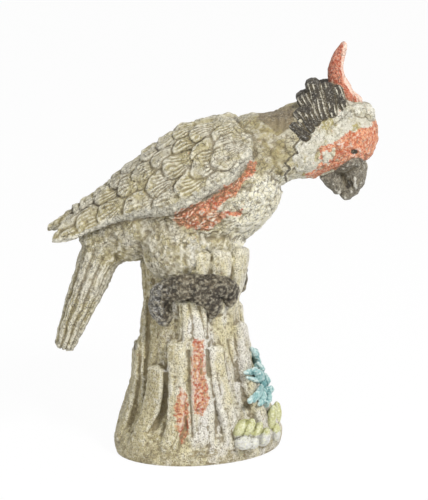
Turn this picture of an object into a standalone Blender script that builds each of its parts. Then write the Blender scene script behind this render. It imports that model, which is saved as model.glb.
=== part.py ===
# Cockatoo leaning forward on a tree stump: a one-piece casting with a flat underside.
# Z is up, the bird looks along +X, and the origin is the middle of the stump's underside.
# Every form below is in millimetres. The finished skin is written in metres.

import itertools
import math

import bmesh
import bpy
import numpy as np
from mathutils import Matrix
from mathutils.bvhtree import BVHTree

MM = 0.001
# The photograph: millimetres in one of its pixels, the pixel where the middle of the underside
# lies, and the angle in degrees that it looks down by. It shows the bird's right side.
PIXEL = 0.8385
ORIGIN_PIXEL = (198.0, 449.4)
VIEW_TILT = 13.0

# Stump: height, half length along X, half breadth along Y, middle X
STUMP_LINE = (
    (-4, 69, 55, 1),
    (8, 71, 58, 1),
    (20, 66, 55, 0),
    (36, 56, 49, -1.5),
    (62, 50, 45, -3),
    (88, 46, 42, -3),
    (106, 41, 40, -5),
    (128, 38, 38, -5),
    (152, 40, 38, -4),
    (170, 43, 39, -2),
)
BASE_TURN = 20.0
TURN_FADE_HEIGHT = 70.0

# Bark planks: angle round the stump at the foot and at the head, half width, foot height,
# head height, how far the plank stands proud. Minus 90 degrees is the bird's right side.
BARK_PLANKS = (
    (-163, -163, 7, 14, 94, 7.0),
    (-147, -168, 4, 40, 162, 4.5),
    (-134, -128, 9.5, 14, 78, 6.5),
    (-107, -106, 7.8, 14, 102, 8.0),
    (-84, -91, 10.5, 20, 136, 4.5),
    (-61, -65, 7.6, 14, 97, 6.5),
    (-29, -22, 8, 16, 110, 7.0),
    (-3, -6, 7.5, 14, 92, 5.0),
    (18, 16, 7, 14, 122, 4.0),
    (38, 37, 8, 14, 92, 6.0),
    (60, 58, 8.5, 14, 108, 4.5),
    (83, 84, 8, 14, 82, 6.5),
    (105, 103, 7.5, 14, 116, 4.5),
    (128, 126, 8.5, 14, 90, 6.0),
    (150, 150, 7.5, 14, 104, 4.5),
    (173, 174, 7, 14, 84, 6.0),
)
# Rim slabs under the bird: angle, half width, lowest and highest point, how far proud
RIM_SLABS = (
    (-82, 6, 128, 176, 3.5),
    (-59, 8.5, 126, 176, 4.0),
    (-34, 5.5, 124, 175, 4.5),
    (-13, 7, 136, 172, 4.5),
    (9, 6, 128, 170, 3.5),
    (31, 6, 134, 176, 3.0),
    (54, 6, 128, 173, 4.5),
    (78, 6, 130, 175, 3.0),
    (104, 6, 126, 172, 4.0),
    (130, 6, 130, 170, 3.0),
    (156, 6, 128, 168, 4.0),
    (-178, 6, 126, 168, 3.0),
    (-154, 5, 130, 168, 3.0),
)
BARK_THICKNESS = 11.0
BARK_KNOB_RADIUS = 5.0
# A plank's stand at its foot, as a share of the whole, and the share of its length it grows over
BARK_FOOT_STAND = 0.3
BARK_FOOT_LENGTH = 0.35
BARK_DOMES = (4, 3)
BARK_SQUARENESS = 3.5
GROOVE_DEPTH = 0.65
GROOVE_PITCH = 5.5
GROOVE_STRETCH = 10.0
GROOVE_SEED = 71
LUMP_DEPTH = 0.7
LUMP_PITCH = 13.0
LUMP_SEED = 73
SMOOTH_FOOT_HEIGHT = 20.0
# Main cracks in the front of the bark: path in pixels, half width in pixels, depth
CRACKS = (
    (((189, 352), (189.5, 380), (190, 400), (191, 420), (192, 434)), 3.2, 3.4),
    (((166.5, 372), (165.5, 395), (163, 410), (156, 424), (148, 432)), 4.0, 2.4),
    (((208, 349), (208, 362), (209, 374)), 3.0, 2.4),
    (((229, 340), (231, 352), (235, 366), (237, 380)), 3.2, 2.2),
    (((147, 300), (148, 330), (147, 352), (145, 372)), 3.4, 1.8),
)

# Body, rump to head: X, height above the stump's top, half depth, half width
BODY_LINE = (
    (-84, 10, 19, 20),
    (-60, 20, 29, 30),
    (-30, 39, 42, 38),
    (5, 53, 53, 43),
    (31, 66, 48, 42),
    (52, 84.8, 34, 35),
    (69, 90.6, 29.8, 31),
    (87, 96, 31.5, 29),
    (104, 100, 32, 28),
)
BODY_DOMES = (14, 20)
# Hood of pale feathers that stands over the neck: X, height above the stump's top, half depth,
# half width
HOOD_LINE = ((77, 91, 30.5, 30.5), (88, 96, 33.5, 31), (104, 100, 33.5, 30), (114, 100, 31, 27))
HOOD_DOMES = (2, 6)
# Head: X and height above the stump's top, then its three half sizes
HEAD_X = 118.0
HEAD_RISE = 100.0
HEAD_LENGTH = 31.3
HEAD_BREADTH = 27.0
HEAD_DEPTH = 31.5

# Beak and crest, from the middle of the head: X, height, half depth, half width
UPPER_BEAK = ((10.5, -16, 10.5, 12), (12.8, -29, 9.8, 11.5), (10.8, -42, 9, 10), (5, -51.5, 5, 5))
LOWER_BEAK = ((-11, -25, 10, 12), (-5, -37, 9, 10.5), (1, -46, 6, 8))
CREST = (
    (11, 25, 8.5, 9),
    (1, 37, 8.5, 8.5),
    (-3.5, 47, 7.2, 7.5),
    (-4, 56, 6.2, 6.5),
    (-1.5, 65, 5.2, 5.5),
    (2, 73, 3.2, 4),
)
BEAK_DOMES = (4, 3)
CREST_DOMES = (5, 4)
# Nape lobes: root and tip in pixels, each with its side in millimetres, then half width
NAPE_LOBES = (
    (339, 113, 17, 335.5, 97, 7, 4.6),
    (326, 120, 21, 324, 93.5, 8, 5.8),
    (320, 122, 22.5, 310.5, 92, 8, 6.2),
    (314, 127, 24, 301, 103, 11, 6.0),
    (309, 133, 25.5, 296, 117, 15, 5.8),
    (303, 141, 28, 289.5, 132, 21, 5.4),
)
LOBE_ROOT_SHARE = 0.65
LOBE_THICKNESS = 13.0
LOBE_DOMES = (3, 5)
# Lumps on the head: middle and half sizes in pixels, height
HEAD_LUMPS = (
    (352, 113.5, 7, 6, 1.8),
    (365.5, 112, 6.5, 7, 1.8),
    (358, 123, 6, 4.5, 1.2),
    (324, 127, 6.5, 6, 1.4),
    (331, 119, 5, 5, 1.0),
    (300, 162, 5, 5, 1.2),
    (323.5, 160, 5, 6, 1.2),
)
# Lumps on the brow: X, side and height from the middle of the head, and radius
BROW_LUMPS = ((13, 13, 20, 7), (21, 9, 18, 7), (5, 16, 20, 6))
EYE_X = 10.5
EYE_DROP = -11.5
EYE_RADIUS = 4.2

# Wing, shoulder to tip: X, side and height of its upper edge, side and height of its lower edge
WING_LINE = (
    (41, 17, 102, 41, 84),
    (30, 9, 114, 45, 69),
    (10, 8, 112, 47, 57),
    (-15, 7, 104.5, 46, 43),
    (-40, 5, 87, 41, 38.5),
    (-65, 4, 65.5, 34, 33),
    (-90, 7, 44.5, 28, 22),
    (-107, 12, 30, 27, 15.5),
    (-118.5, 17, 21.5, 24, 14.5),
)
# Half thickness of the wing at each of those places
WING_THICKNESS = (12, 14, 14.5, 14.5, 13, 10, 6.5, 4.5, 3.5)
WING_DOMES = (7, 5)
# The near wing is a little shorter than the far one: how far each tip shifts along X, by side,
# and the X where that starts
WING_TIP_SHIFT = {-1: 4.5, 1: -3.5}
WING_SHIFT_FROM = -85
# Smooth leading edge: its width at the shoulder, its share of that at the tip, and where along X
# it starts to widen
EDGE_STRIP = 9.0
EDGE_TIP_SHARE = 0.35
EDGE_WIDENS_FROM = -70.0
EDGE_WIDENS_OVER = 60.0
# Wing feathers from the tip of the wing to the shoulder, each over the ones before it: root and
# tip in pixels, then half width
WING_FEATHERS = (
    (108, 214, 57, 241, 9), (104, 203, 62, 236, 6), (100, 198, 60, 228, 6), (96, 193, 70, 214, 6),
    (116, 205, 76, 225, 11), (104, 188, 80, 206, 8), (116, 175, 92, 193, 7), (130, 160, 104, 180, 7),
    (132, 200, 100, 215, 12.5), (126, 184, 96, 200, 10), (136, 170, 110, 186, 9), (148, 154, 122, 170, 8),
    (160, 197, 125, 206, 14), (150, 178, 118, 192, 10.5), (160, 163, 133, 178, 9.5), (164, 142, 140, 156, 8),
    (182, 132, 156, 147, 8), (180, 151, 151, 166, 10), (194, 196, 153, 206, 12.5), (178, 177, 147, 190, 11),
    (200, 140, 172, 153, 9.5), (196, 124, 174, 136, 8), (224, 186, 186, 203, 10), (196, 160, 162, 172, 11),
    (210, 176, 176, 190, 12), (222, 146, 190, 158, 10), (214, 126, 190, 139, 9), (236, 170, 206, 189, 10),
    (224, 160, 190, 173, 11.5), (234, 128, 212, 142, 9.5), (240, 142, 214, 155, 11), (248, 150, 232, 168, 9),
    (238, 152, 211, 169, 12),
)
WING_SWAY = 1.6
WING_SWAY_PITCH = 11.0
WING_SWAY_SEEDS = (21, 22)

# Tail from the rump: X, height above the stump's top, half depth, half width
TAIL_LINE = (
    (-74, 14, 21, 22),
    (-85, -10, 17, 20),
    (-97.5, -41, 14, 18),
    (-108, -67, 11, 15),
    (-113, -80, 9, 13),
)
TAIL_DOMES = (10, 3)
# Thigh: X, side, height above the stump's top, then three half sizes
THIGH = (-18, 28, 10, 28, 17, 28)
# Belly resting on the stump: X, height above its top, then three half sizes
BELLY = (0, 14, 42, 36, 22)

# Foot on the bird's right side: angle round the stump, height below the stump's top, half size
FOOT_BACK_TOE = ((-97, -20, 11), (-113, -22, 10), (-125, -28, 9.5), (-129, -38, 9.5), (-124, -48, 7))
FOOT_FRONT_TOE = ((-97, -20, 11), (-76, -20, 10.5), (-58, -21, 9.5), (-47, -26, 8), (-45, -34, 6.5))
FOOT_MIDDLE_TOE = ((-88, -22, 10), (-76, -28, 9.5), (-68, -35, 8.5), (-68, -42, 6))
FAR_FOOT_TURN = 34.0
TOE_STAND = 0.45
TOE_SQUASH = 0.9

# Lobes of the leaves curled at the stump's foot: middle and half sizes in pixels, lean in degrees,
# how far off the trunk
CURL_LOBES = (
    (240, 427.5, 6.6, 9.5, 30, 5),
    (249, 426.5, 6.6, 10.5, 32, 7),
    (257.5, 430, 5.4, 10, 30, 6),
    (264, 436.5, 5, 9.5, 26, 3),
    (243.5, 441, 9.5, 7.5, 0, 4),
    (252.5, 441, 6.5, 7, 0, 5),
    (271.8, 419.5, 5.2, 13.5, 10, 4),
    (278, 417.5, 5, 13, 0, 2),
    (276.5, 434, 5.4, 9.5, -4, 1),
)
CURL_THICKNESS = 7.5
# Fern leaflets: root and tip in pixels, half width in pixels, and how far the tip stands off
FERN_LEAFLETS = (
    (254, 363, 251.5, 346, 3.6, 2.5),
    (260, 377, 258.5, 361, 3.2, 4.5),
    (262, 386, 243.5, 369, 4.6, 4.0),
    (262, 388, 246, 379, 3.8, 2.5),
    (265, 389, 267, 374.5, 3.6, 6.0),
    (262, 388, 247.5, 403, 5.0, 4.0),
    (264, 394, 276, 388, 4.6, 7.0),
    (265, 393, 259.5, 408.5, 4.6, 4.0),
    (266, 393, 269.5, 407.5, 4.4, 6.0),
)
FERN_STEM = ((254, 352), (257, 366), (262, 382), (264, 396), (265, 406))
STEM_RADIUS = 4.0
# The stem stands off the trunk, over the planks
FERN_STAND = 6.0
LEAFLET_BOW = 2.5
LEAFLET_HALF_THICKNESS = 2.4
LEAFLET_FACING = (0, -0.9, 0)
LEAFLET_ROOT_STAND = 7.0
# A leaflet's width along its line is a sine, from one angle to the other
LEAFLET_SWELL = (0.5, 2.9)
LEAFLET_STATIONS = 10

# Carving: shingled feathers. Heights are shares of the depth, and lengths are shares of a feather
FEATHER_RIM = 1.3
FEATHER_GAP_LIFT = 0.3
FEATHER_ROOT_LIFT = 0.25
FEATHER_EDGE_LIFT = 0.12
FEATHER_CROWN = 0.22
FEATHER_ROOT_WIDTH = 0.72
FEATHER_BOW_START = 0.55
FEATHER_SHADOW = 0.5
FEATHER_SHADOW_START = 0.15
WING_FEATHER_DEPTH = 3.6
WING_MEAN_LIFT = 0.74
WING_EDGE_LIFT = 0.55
# Body feathers: depth on the back and how much less on the breast, half width, row pitch, length,
# the share that shows, girth that they go round, and how far they run past the neck
BODY_FEATHER_DEPTH = 2.1
BREAST_DEPTH_LOSS = 0.8
BODY_MEAN_LIFT = 0.55
BODY_FEATHER_WIDTH = 18.0
BODY_FEATHER_ROW = 13.0
BODY_FEATHER_LENGTHS = (1.1, 1.5)
BODY_FEATHER_HALVES = (0.42, 0.6)
BODY_FEATHER_TURN = 0.3
BODY_FEATHER_SHIFT = 0.2
BODY_FEATHER_SHOWING = 0.6
BODY_GIRTH = 300.0
BODY_OVERRUN = 30.0
BODY_SWAY = 3.4
BODY_SWAY_PITCH = 9.0
BODY_SWAY_SEEDS = (31, 32)
BODY_LAYOUT_SEED = 5
BREAST_LUMP_DEPTH = 1.1
BREAST_LUMP_PITCH = 11.0
BREAST_LUMP_SEED = 54
# The breast starts at this X and height, and is full this much further on and lower down
BREAST_START = (8, 262)
BREAST_FADE = (30, 24)
TAIL_GROOVE = 2.2
TAIL_QUILLS = 5.5
TAIL_MEAN_LIFT = 0.65
TAIL_SWAY = 0.12
TAIL_SWAY_PITCH = 14.0
TAIL_SWAY_SEED = 41
LUMP_FADE = 1.15
BLEND_PASSES = 3

RINGS = 40
SIDES = 40
DOME_RINGS = 6
SKIN_CELL = 1.6
SOFTEN_PASSES = 4
SKIN_TRIANGLES = 11800
NOISE_CELLS = 32
AIM_PASSES = 8
SHORTEST_EDGE = 0.02
SHARP_ANGLE = 50.0
PAINT = (0.42, 0.37, 0.26, 1.0)


# Curves and solids

def curve_through(rows, count):
    rows = np.asarray(rows, float)
    steps = np.linalg.norm(np.diff(rows[:, :3], axis=0), axis=1)
    knots = np.concatenate(([0], np.cumsum(steps)))
    slopes = np.gradient(rows, knots, axis=0)
    places = np.linspace(0, knots[-1], count)
    left = np.clip(np.searchsorted(knots, places, side="right") - 1, 0, len(knots) - 2)
    span = (knots[left + 1] - knots[left])[:, None]
    t = ((places - knots[left])[:, None]) / span
    start = (2 * t**3 - 3 * t**2 + 1) * rows[left] + (t**3 - 2 * t**2 + t) * span * slopes[left]
    end = (3 * t**2 - 2 * t**3) * rows[left + 1] + (t**3 - t**2) * span * slopes[left + 1]
    return start + end


def loft(name, centres, first, second, domes=(0, 0), power=2.0, sides=SIDES):
    # Rings of a rounded section, closed by a dome of the given length at each end
    centres, first, second = (np.asarray(v, float) for v in (centres, first, second))
    lead = centres[0] - centres[1]
    trail = centres[-1] - centres[-2]
    stack = [(centres[i], first[i], second[i]) for i in range(len(centres))]
    for end, heading, dome in ((0, lead, domes[0]), (-1, trail, domes[1])):
        heading = heading / np.linalg.norm(heading)
        caps = []
        for step in range(1, DOME_RINGS):
            turn = 0.5 * math.pi * step / DOME_RINGS
            shrink = math.cos(turn)
            centre = centres[end] + heading * dome * math.sin(turn)
            caps.append((centre, first[end] * shrink, second[end] * shrink))
        stack = caps[::-1] + stack if end == 0 else stack + caps
    angles = np.linspace(0, 2 * math.pi, sides, endpoint=False)
    across = np.sign(np.cos(angles)) * np.abs(np.cos(angles)) ** (2 / power)
    along = np.sign(np.sin(angles)) * np.abs(np.sin(angles)) ** (2 / power)
    bm = bmesh.new()
    rings = []
    for centre, a, b in stack:
        points = centre + across[:, None] * a + along[:, None] * b
        rings.append([bm.verts.new(p) for p in points])
    for low, high in zip(rings, rings[1:]):
        for i in range(sides):
            j = (i + 1) % sides
            bm.faces.new((low[i], low[j], high[j], high[i]))
    bm.faces.new(rings[0][::-1])
    bm.faces.new(rings[-1])
    bmesh.ops.recalc_face_normals(bm, faces=bm.faces)
    return finish_form(name, bm)


def finish_form(name, bm):
    mesh = bpy.data.meshes.new(name)
    bm.to_mesh(mesh)
    bm.free()
    form = bpy.data.objects.new(name, mesh)
    bpy.context.scene.collection.objects.link(form)
    return form


def sweep(name, rows, domes=(0, 0), power=2.0, count=RINGS):
    # Rows of X, Y, Z, half depth in the X-Z plane and half width along Y
    line = curve_through(rows, count)
    centres = line[:, :3]
    heading = np.gradient(centres, axis=0)
    heading /= np.linalg.norm(heading, axis=1)[:, None]
    depth = np.cross(heading, (0, 1, 0))
    depth /= np.linalg.norm(depth, axis=1)[:, None]
    width = np.cross(depth, heading)
    return loft(name, centres, depth * line[:, 3:4], width * line[:, 4:5], domes, power)


def ball(name, centre, halves, lean=0.0):
    bm = bmesh.new()
    bmesh.ops.create_uvsphere(bm, u_segments=32, v_segments=20, radius=1)
    bmesh.ops.scale(bm, vec=halves, verts=bm.verts)
    bmesh.ops.rotate(bm, verts=bm.verts, matrix=Matrix.Rotation(math.radians(lean), 3, "Y"))
    bmesh.ops.translate(bm, vec=centre, verts=bm.verts)
    return finish_form(name, bm)


def smooth_noise(points, size, seed):
    table = np.random.default_rng(seed).uniform(-1, 1, (NOISE_CELLS,) * 3)
    places = points / np.asarray(size, float)
    cell = np.floor(places).astype(int)
    part = places - cell
    part = part * part * (3 - 2 * part)
    total = np.zeros(len(points))
    for corner in itertools.product((0, 1), repeat=3):
        share = np.prod(np.where(corner, part, 1 - part), axis=1)
        index = (cell + corner) % NOISE_CELLS
        total += share * table[index[:, 0], index[:, 1], index[:, 2]]
    return total


# Stump

def stump_section(height):
    line = np.asarray(STUMP_LINE, float)
    half_length, half_breadth, middle = (np.interp(height, line[:, 0], line[:, i]) for i in (1, 2, 3))
    turn = math.radians(BASE_TURN) * np.clip(1 - height / TURN_FADE_HEIGHT, 0, 1)
    return half_length, half_breadth, middle, turn


def on_stump(angle, height, proud=0.0):
    # A point on the stump's side, and the outward direction there
    half_length, half_breadth, middle, turn = stump_section(height)
    bearing = math.radians(angle) - turn
    x, y = half_length * math.cos(bearing), half_breadth * math.sin(bearing)
    out = np.array((x / half_length**2, y / half_breadth**2, 0))
    out /= np.linalg.norm(out)
    spin = np.array(((math.cos(turn), -math.sin(turn), 0), (math.sin(turn), math.cos(turn), 0), (0, 0, 1)))
    out = spin @ out
    return spin @ np.array((x, y, 0)) + (middle, 0, height) + out * proud, out


def stump_top():
    return STUMP_LINE[-1][0]


def make_trunk():
    rows = []
    for height, *_ in STUMP_LINE:
        half_length, half_breadth, middle, turn = stump_section(height)
        rows.append((middle, 0, height, half_length, half_breadth, turn))
    line = curve_through(rows, RINGS)
    turn = line[:, 5]
    level = np.zeros(len(line))
    first = np.stack((np.cos(turn), np.sin(turn), level), axis=1) * line[:, 3:4]
    second = np.stack((-np.sin(turn), np.cos(turn), level), axis=1) * line[:, 4:5]
    return loft("trunk", line[:, :3], first, second)


def make_bark(name, foot_angle, head_angle, half_width, low, high, proud):
    rows = []
    for share in (0, 0.25, 0.5, 0.75, 1):
        height = low + (high - low) * share
        angle = foot_angle + (head_angle - foot_angle) * share
        stand = proud * min(1, BARK_FOOT_STAND + share / BARK_FOOT_LENGTH)
        point, out = on_stump(angle, height, stand - BARK_THICKNESS / 2)
        rows.append((*point, *out))
    line = curve_through(rows, 16)
    out = line[:, 3:6] / np.linalg.norm(line[:, 3:6], axis=1)[:, None]
    tangent = np.cross((0, 0, 1), out)
    return loft(name, line[:, :3], tangent * half_width, out * BARK_THICKNESS / 2, BARK_DOMES,
                power=BARK_SQUARENESS, sides=24)


def make_stump():
    forms = [make_trunk()]
    for number, plank in enumerate(BARK_PLANKS):
        forms.append(make_bark(f"plank_{number}", *plank))
    for number, (angle, half_width, low, high, proud) in enumerate(RIM_SLABS):
        forms.append(make_bark(f"rim_{number}", angle, angle, half_width, low, high, proud))
    first_angle, _, _, _, first_head, _ = BARK_PLANKS[0]
    knob, _ = on_stump(first_angle, first_head + BARK_KNOB_RADIUS / 2)
    forms.append(ball("bark_knob", knob, (BARK_KNOB_RADIUS,) * 3))
    return forms


# Leaves on the stump

def photo_place(across, down, side):
    # The point that a pixel shows, where its place along Y is known
    tilt = math.radians(VIEW_TILT)
    rise = ((ORIGIN_PIXEL[1] - down) * PIXEL - side * math.sin(tilt)) / math.cos(tilt)
    return np.array(((across - ORIGIN_PIXEL[0]) * PIXEL, side, rise))


def on_front(across, down, proud=0.0):
    # The point that a pixel shows on the front of the stump, and the outward direction there
    side = -STUMP_LINE[0][2]
    goal, _, _ = photo_place(across, down, side)
    aim = goal
    for _ in range(AIM_PASSES):
        _, _, height = photo_place(across, down, side)
        half_length, half_breadth, middle, turn = stump_section(height)
        along, aside = half_length * math.cos(turn), half_breadth * math.sin(turn)
        share = np.clip((aim - middle) / math.hypot(along, aside), -1, 1)
        bearing = -math.acos(share) - math.atan2(aside, along)
        point, out = on_stump(math.degrees(bearing + turn), height, proud)
        side = point[1]
        aim += goal - point[0]
    return photo_place(across, down, side), out


def make_leaves():
    forms = []
    for number, (across, down, half_x, half_z, lean, stand) in enumerate(CURL_LOBES):
        centre, _ = on_front(across, down, stand)
        halves = (half_x * PIXEL, CURL_THICKNESS, half_z * PIXEL)
        forms.append(ball(f"curl_{number}", centre, halves, lean))
    stem = [(*on_front(*spot, FERN_STAND)[0], STEM_RADIUS, STEM_RADIUS) for spot in FERN_STEM]
    forms.append(sweep("fern_stem", stem, (2, 2), count=12))
    for number, (*ends, half_width, lift) in enumerate(FERN_LEAFLETS):
        root, _ = on_front(*ends[:2], LEAFLET_ROOT_STAND)
        tip, out = on_front(*ends[2:], FERN_STAND + lift)
        line = curve_through((root, (root + tip) / 2 + out * LEAFLET_BOW, tip), LEAFLET_STATIONS)
        heading = (tip - root) / np.linalg.norm(tip - root)
        side = np.cross(heading, out + LEAFLET_FACING)
        side /= np.linalg.norm(side)
        out = np.cross(side, heading)
        swell = np.sin(np.linspace(*LEAFLET_SWELL, LEAFLET_STATIONS))[:, None]
        forms.append(loft(f"leaflet_{number}", line, side * half_width * PIXEL * swell,
                          out * LEAFLET_HALF_THICKNESS * swell, (1.5, 1.5), sides=16))
    return forms


# Bird

def over_stump(rows):
    return [(x, 0, stump_top() + rise, *rest) for x, rise, *rest in rows]


def over_head(rows):
    return [(HEAD_X + x, 0, stump_top() + HEAD_RISE + rise, *rest) for x, rise, *rest in rows]


def make_body():
    body = sweep("body", over_stump(BODY_LINE), BODY_DOMES)
    head = ball("head", (HEAD_X, 0, stump_top() + HEAD_RISE), (HEAD_LENGTH, HEAD_BREADTH, HEAD_DEPTH))
    tail = sweep("tail", over_stump(TAIL_LINE), TAIL_DOMES, power=2.6)
    hood = sweep("hood", over_stump(HOOD_LINE), HOOD_DOMES)
    forms = [body, head, hood, tail]
    x, side, rise, length, breadth, depth = THIGH
    for hand in (-1, 1):
        forms.append(ball("thigh", (x, hand * side, stump_top() + rise), (length, breadth, depth)))
    x, rise, *halves = BELLY
    forms.append(ball("body_belly", (x, 0, stump_top() + rise), halves))
    return forms


def wing_sections(hand):
    # Middle, half height vector and half thickness vector of each section
    line = []
    last_x = WING_LINE[-1][0]
    for (x, upper_side, upper, lower_side, lower), half in zip(WING_LINE, WING_THICKNESS):
        x += WING_TIP_SHIFT[hand] * max(0, (x - WING_SHIFT_FROM) / (last_x - WING_SHIFT_FROM))
        top = np.array((x, hand * upper_side, stump_top() + upper))
        foot = np.array((x, hand * lower_side, stump_top() + lower))
        line.append((*((top + foot) / 2), *((top - foot) / 2), half))
    line = curve_through(line, RINGS)
    centres, reach = line[:, :3], line[:, 3:6]
    out = np.cross((1, 0, 0), reach) * -hand
    out = out / np.linalg.norm(out, axis=1)[:, None]
    return centres, reach, out * line[:, 6:7]


def make_wing(hand):
    centres, reach, out = wing_sections(hand)
    return loft("wing", centres, reach, out, WING_DOMES, power=2.3)


def make_head_trim():
    forms = [
        sweep("upper_beak", over_head(UPPER_BEAK), BEAK_DOMES),
        sweep("lower_beak", over_head(LOWER_BEAK), BEAK_DOMES),
        sweep("crest", over_head(CREST), CREST_DOMES),
    ]
    head = np.array((HEAD_X, 0, stump_top() + HEAD_RISE))
    for hand in (-1, 1):
        mirror = np.array((1, hand, 1))
        for number, (*ends, half_width) in enumerate(NAPE_LOBES):
            near = (photo_place(across, down, -side) for across, down, side in (ends[:3], ends[3:]))
            root, tip = (point * (1, -hand, 1) for point in near)
            line = curve_through((root, (root + tip) / 2, tip), 8)
            heading = (tip - root) / np.linalg.norm(tip - root)
            out = np.cross(heading, np.cross((0, hand, 0), heading))
            out /= np.linalg.norm(out)
            side = np.cross(heading, out)
            swell = np.linspace(LOBE_ROOT_SHARE, 1, 8)[:, None]
            forms.append(loft(f"nape_{number}", line, side * half_width * swell,
                              out * LOBE_THICKNESS / 2 * swell, LOBE_DOMES, sides=24))
        for x, y, z, radius in BROW_LUMPS:
            forms.append(ball("brow", head + np.array((x, y, z)) * mirror, (radius,) * 3))
        reach = 1 - (EYE_X / HEAD_LENGTH) ** 2 - (EYE_DROP / HEAD_DEPTH) ** 2
        side = HEAD_BREADTH * math.sqrt(reach) - EYE_RADIUS / 2
        forms.append(ball("eye", head + np.array((EYE_X, side, EYE_DROP)) * mirror, (EYE_RADIUS,) * 3))
    return forms


def make_foot(hand):
    forms = []
    for number, toe in enumerate((FOOT_BACK_TOE, FOOT_FRONT_TOE, FOOT_MIDDLE_TOE)):
        rows = []
        for angle, drop, half in toe:
            bearing = angle if hand < 0 else -angle - FAR_FOOT_TURN
            point, _ = on_stump(bearing, stump_top() + drop, half * TOE_STAND)
            rows.append((*point, half))
        line = curve_through(rows, 20)
        for step, (x, y, z, half) in enumerate(line):
            forms.append(ball(f"toe_{number}_{step}", (x, y, z), (half, half * TOE_SQUASH, half)))
    return forms


# One skin over all forms

def fuse(forms, cell):
    owners = []
    bm = bmesh.new()
    for number, form in enumerate(forms):
        bm.from_mesh(form.data)
        owners += [number] * len(form.data.polygons)
    whole = finish_form("skin", bm)
    tree_bm = bmesh.new()
    tree_bm.from_mesh(whole.data)
    tree = BVHTree.FromBMesh(tree_bm)
    tree_bm.free()
    remesh = whole.modifiers.new("one_skin", "REMESH")
    remesh.mode = "VOXEL"
    remesh.voxel_size = cell
    mesh = evaluated(whole)
    for form in forms + [whole]:
        bpy.data.objects.remove(form)
    mesh = outer_shell(mesh)
    points = vertex_places(mesh)
    owner = np.array([owners[tree.find_nearest(p)[2]] for p in points.tolist()])
    return mesh, owner


def evaluated(thing):
    graph = bpy.context.evaluated_depsgraph_get()
    graph.update()
    return bpy.data.meshes.new_from_object(thing.evaluated_get(graph))


def outer_shell(mesh):
    # Small bubbles between overlapping forms are dropped
    bm = bmesh.new()
    bm.from_mesh(mesh)
    bm.verts.ensure_lookup_table()
    seen = np.zeros(len(bm.verts), bool)
    shells = []
    for start in bm.verts:
        if seen[start.index]:
            continue
        shell, waiting = [], [start]
        seen[start.index] = True
        while waiting:
            vert = waiting.pop()
            shell.append(vert)
            for edge in vert.link_edges:
                other = edge.other_vert(vert)
                if not seen[other.index]:
                    seen[other.index] = True
                    waiting.append(other)
        shells.append(shell)
    shells.sort(key=len)
    for shell in shells[:-1]:
        bmesh.ops.delete(bm, geom=shell, context="VERTS")
    bm.to_mesh(mesh)
    bm.free()
    return mesh


def vertex_places(mesh):
    places = np.empty(len(mesh.vertices) * 3)
    mesh.vertices.foreach_get("co", places)
    return places.reshape(-1, 3)


def vertex_normals(mesh):
    normals = np.empty(len(mesh.vertices) * 3)
    mesh.vertex_normals.foreach_get("vector", normals)
    return normals.reshape(-1, 3)


def spread(mesh, values, passes):
    # Each vertex takes the mean of itself and its neighbours, several times over
    edges = np.empty(len(mesh.edges) * 2, int)
    mesh.edges.foreach_get("vertices", edges)
    edges = edges.reshape(-1, 2)
    count = np.bincount(edges.ravel(), minlength=len(values)) + 1.0
    values = np.array(values, float)
    for _ in range(passes):
        total = values.copy()
        np.add.at(total, edges[:, 0], values[edges[:, 1]])
        np.add.at(total, edges[:, 1], values[edges[:, 0]])
        values = total / (count[:, None] if values.ndim > 1 else count)
    return values


def soften(mesh, where):
    # Rounds the joins between the forms, and leaves the bark its edges
    points = vertex_places(mesh)
    share = spread(mesh, where.astype(float), SOFTEN_PASSES)[:, None]
    points += (spread(mesh, points, SOFTEN_PASSES) - points) * share
    mesh.vertices.foreach_set("co", points.ravel())
    mesh.update()
    return points


# Carving

def in_photo(points):
    # Where a point shows in the photograph, with both sides of the bird seen as its right side
    tilt = math.radians(VIEW_TILT)
    rise = points[:, 2] * math.cos(tilt) - np.abs(points[:, 1]) * math.sin(tilt)
    return np.stack((ORIGIN_PIXEL[0] + points[:, 0] / PIXEL, ORIGIN_PIXEL[1] - rise / PIXEL), axis=1)


def path_distance(spots, path):
    nearest = np.full(len(spots), np.inf)
    for start, end in zip(np.array(path), np.array(path)[1:]):
        step = end - start
        share = np.clip((spots - start) @ step / (step @ step), 0, 1)
        nearest = np.minimum(nearest, np.linalg.norm(spots - start - share[:, None] * step, axis=1))
    return nearest


def shingles(a, b, feathers):
    # Later feathers lie over earlier ones: low in the gaps between them, 1 at a feather's tip
    height = np.full(len(a), FEATHER_GAP_LIFT)
    for root_a, root_b, tip_a, tip_b, half in feathers:
        reach = math.hypot(tip_a - root_a, tip_b - root_b)
        along_a, along_b = (tip_a - root_a) / reach, (tip_b - root_b) / reach
        da, db = a - root_a, b - root_b
        s = (da * along_a + db * along_b) / reach
        t = (db * along_a - da * along_b) / half
        width = FEATHER_ROOT_WIDTH + (1 - FEATHER_ROOT_WIDTH) * np.clip(s / FEATHER_BOW_START, 0, 1)
        bow = np.clip((s - FEATHER_BOW_START) / (1 - FEATHER_BOW_START), 0, None)
        gap = (1 - np.sqrt((t / width) ** 2 + bow**2)) * half
        covered = (gap > 0) & (s > 0)
        lift = FEATHER_ROOT_LIFT + (1 - FEATHER_ROOT_LIFT) * np.clip(s, 0, 1)
        edge = FEATHER_EDGE_LIFT + (1 - FEATHER_EDGE_LIFT) * np.clip(gap / FEATHER_RIM, 0, 1)
        shadow = FEATHER_SHADOW * np.clip(1 + gap / FEATHER_RIM, 0, 1) * (s > FEATHER_SHADOW_START)
        height = np.where(covered, lift * (1 - FEATHER_CROWN * t**2) * edge, height * (1 - shadow))
    return height


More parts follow.
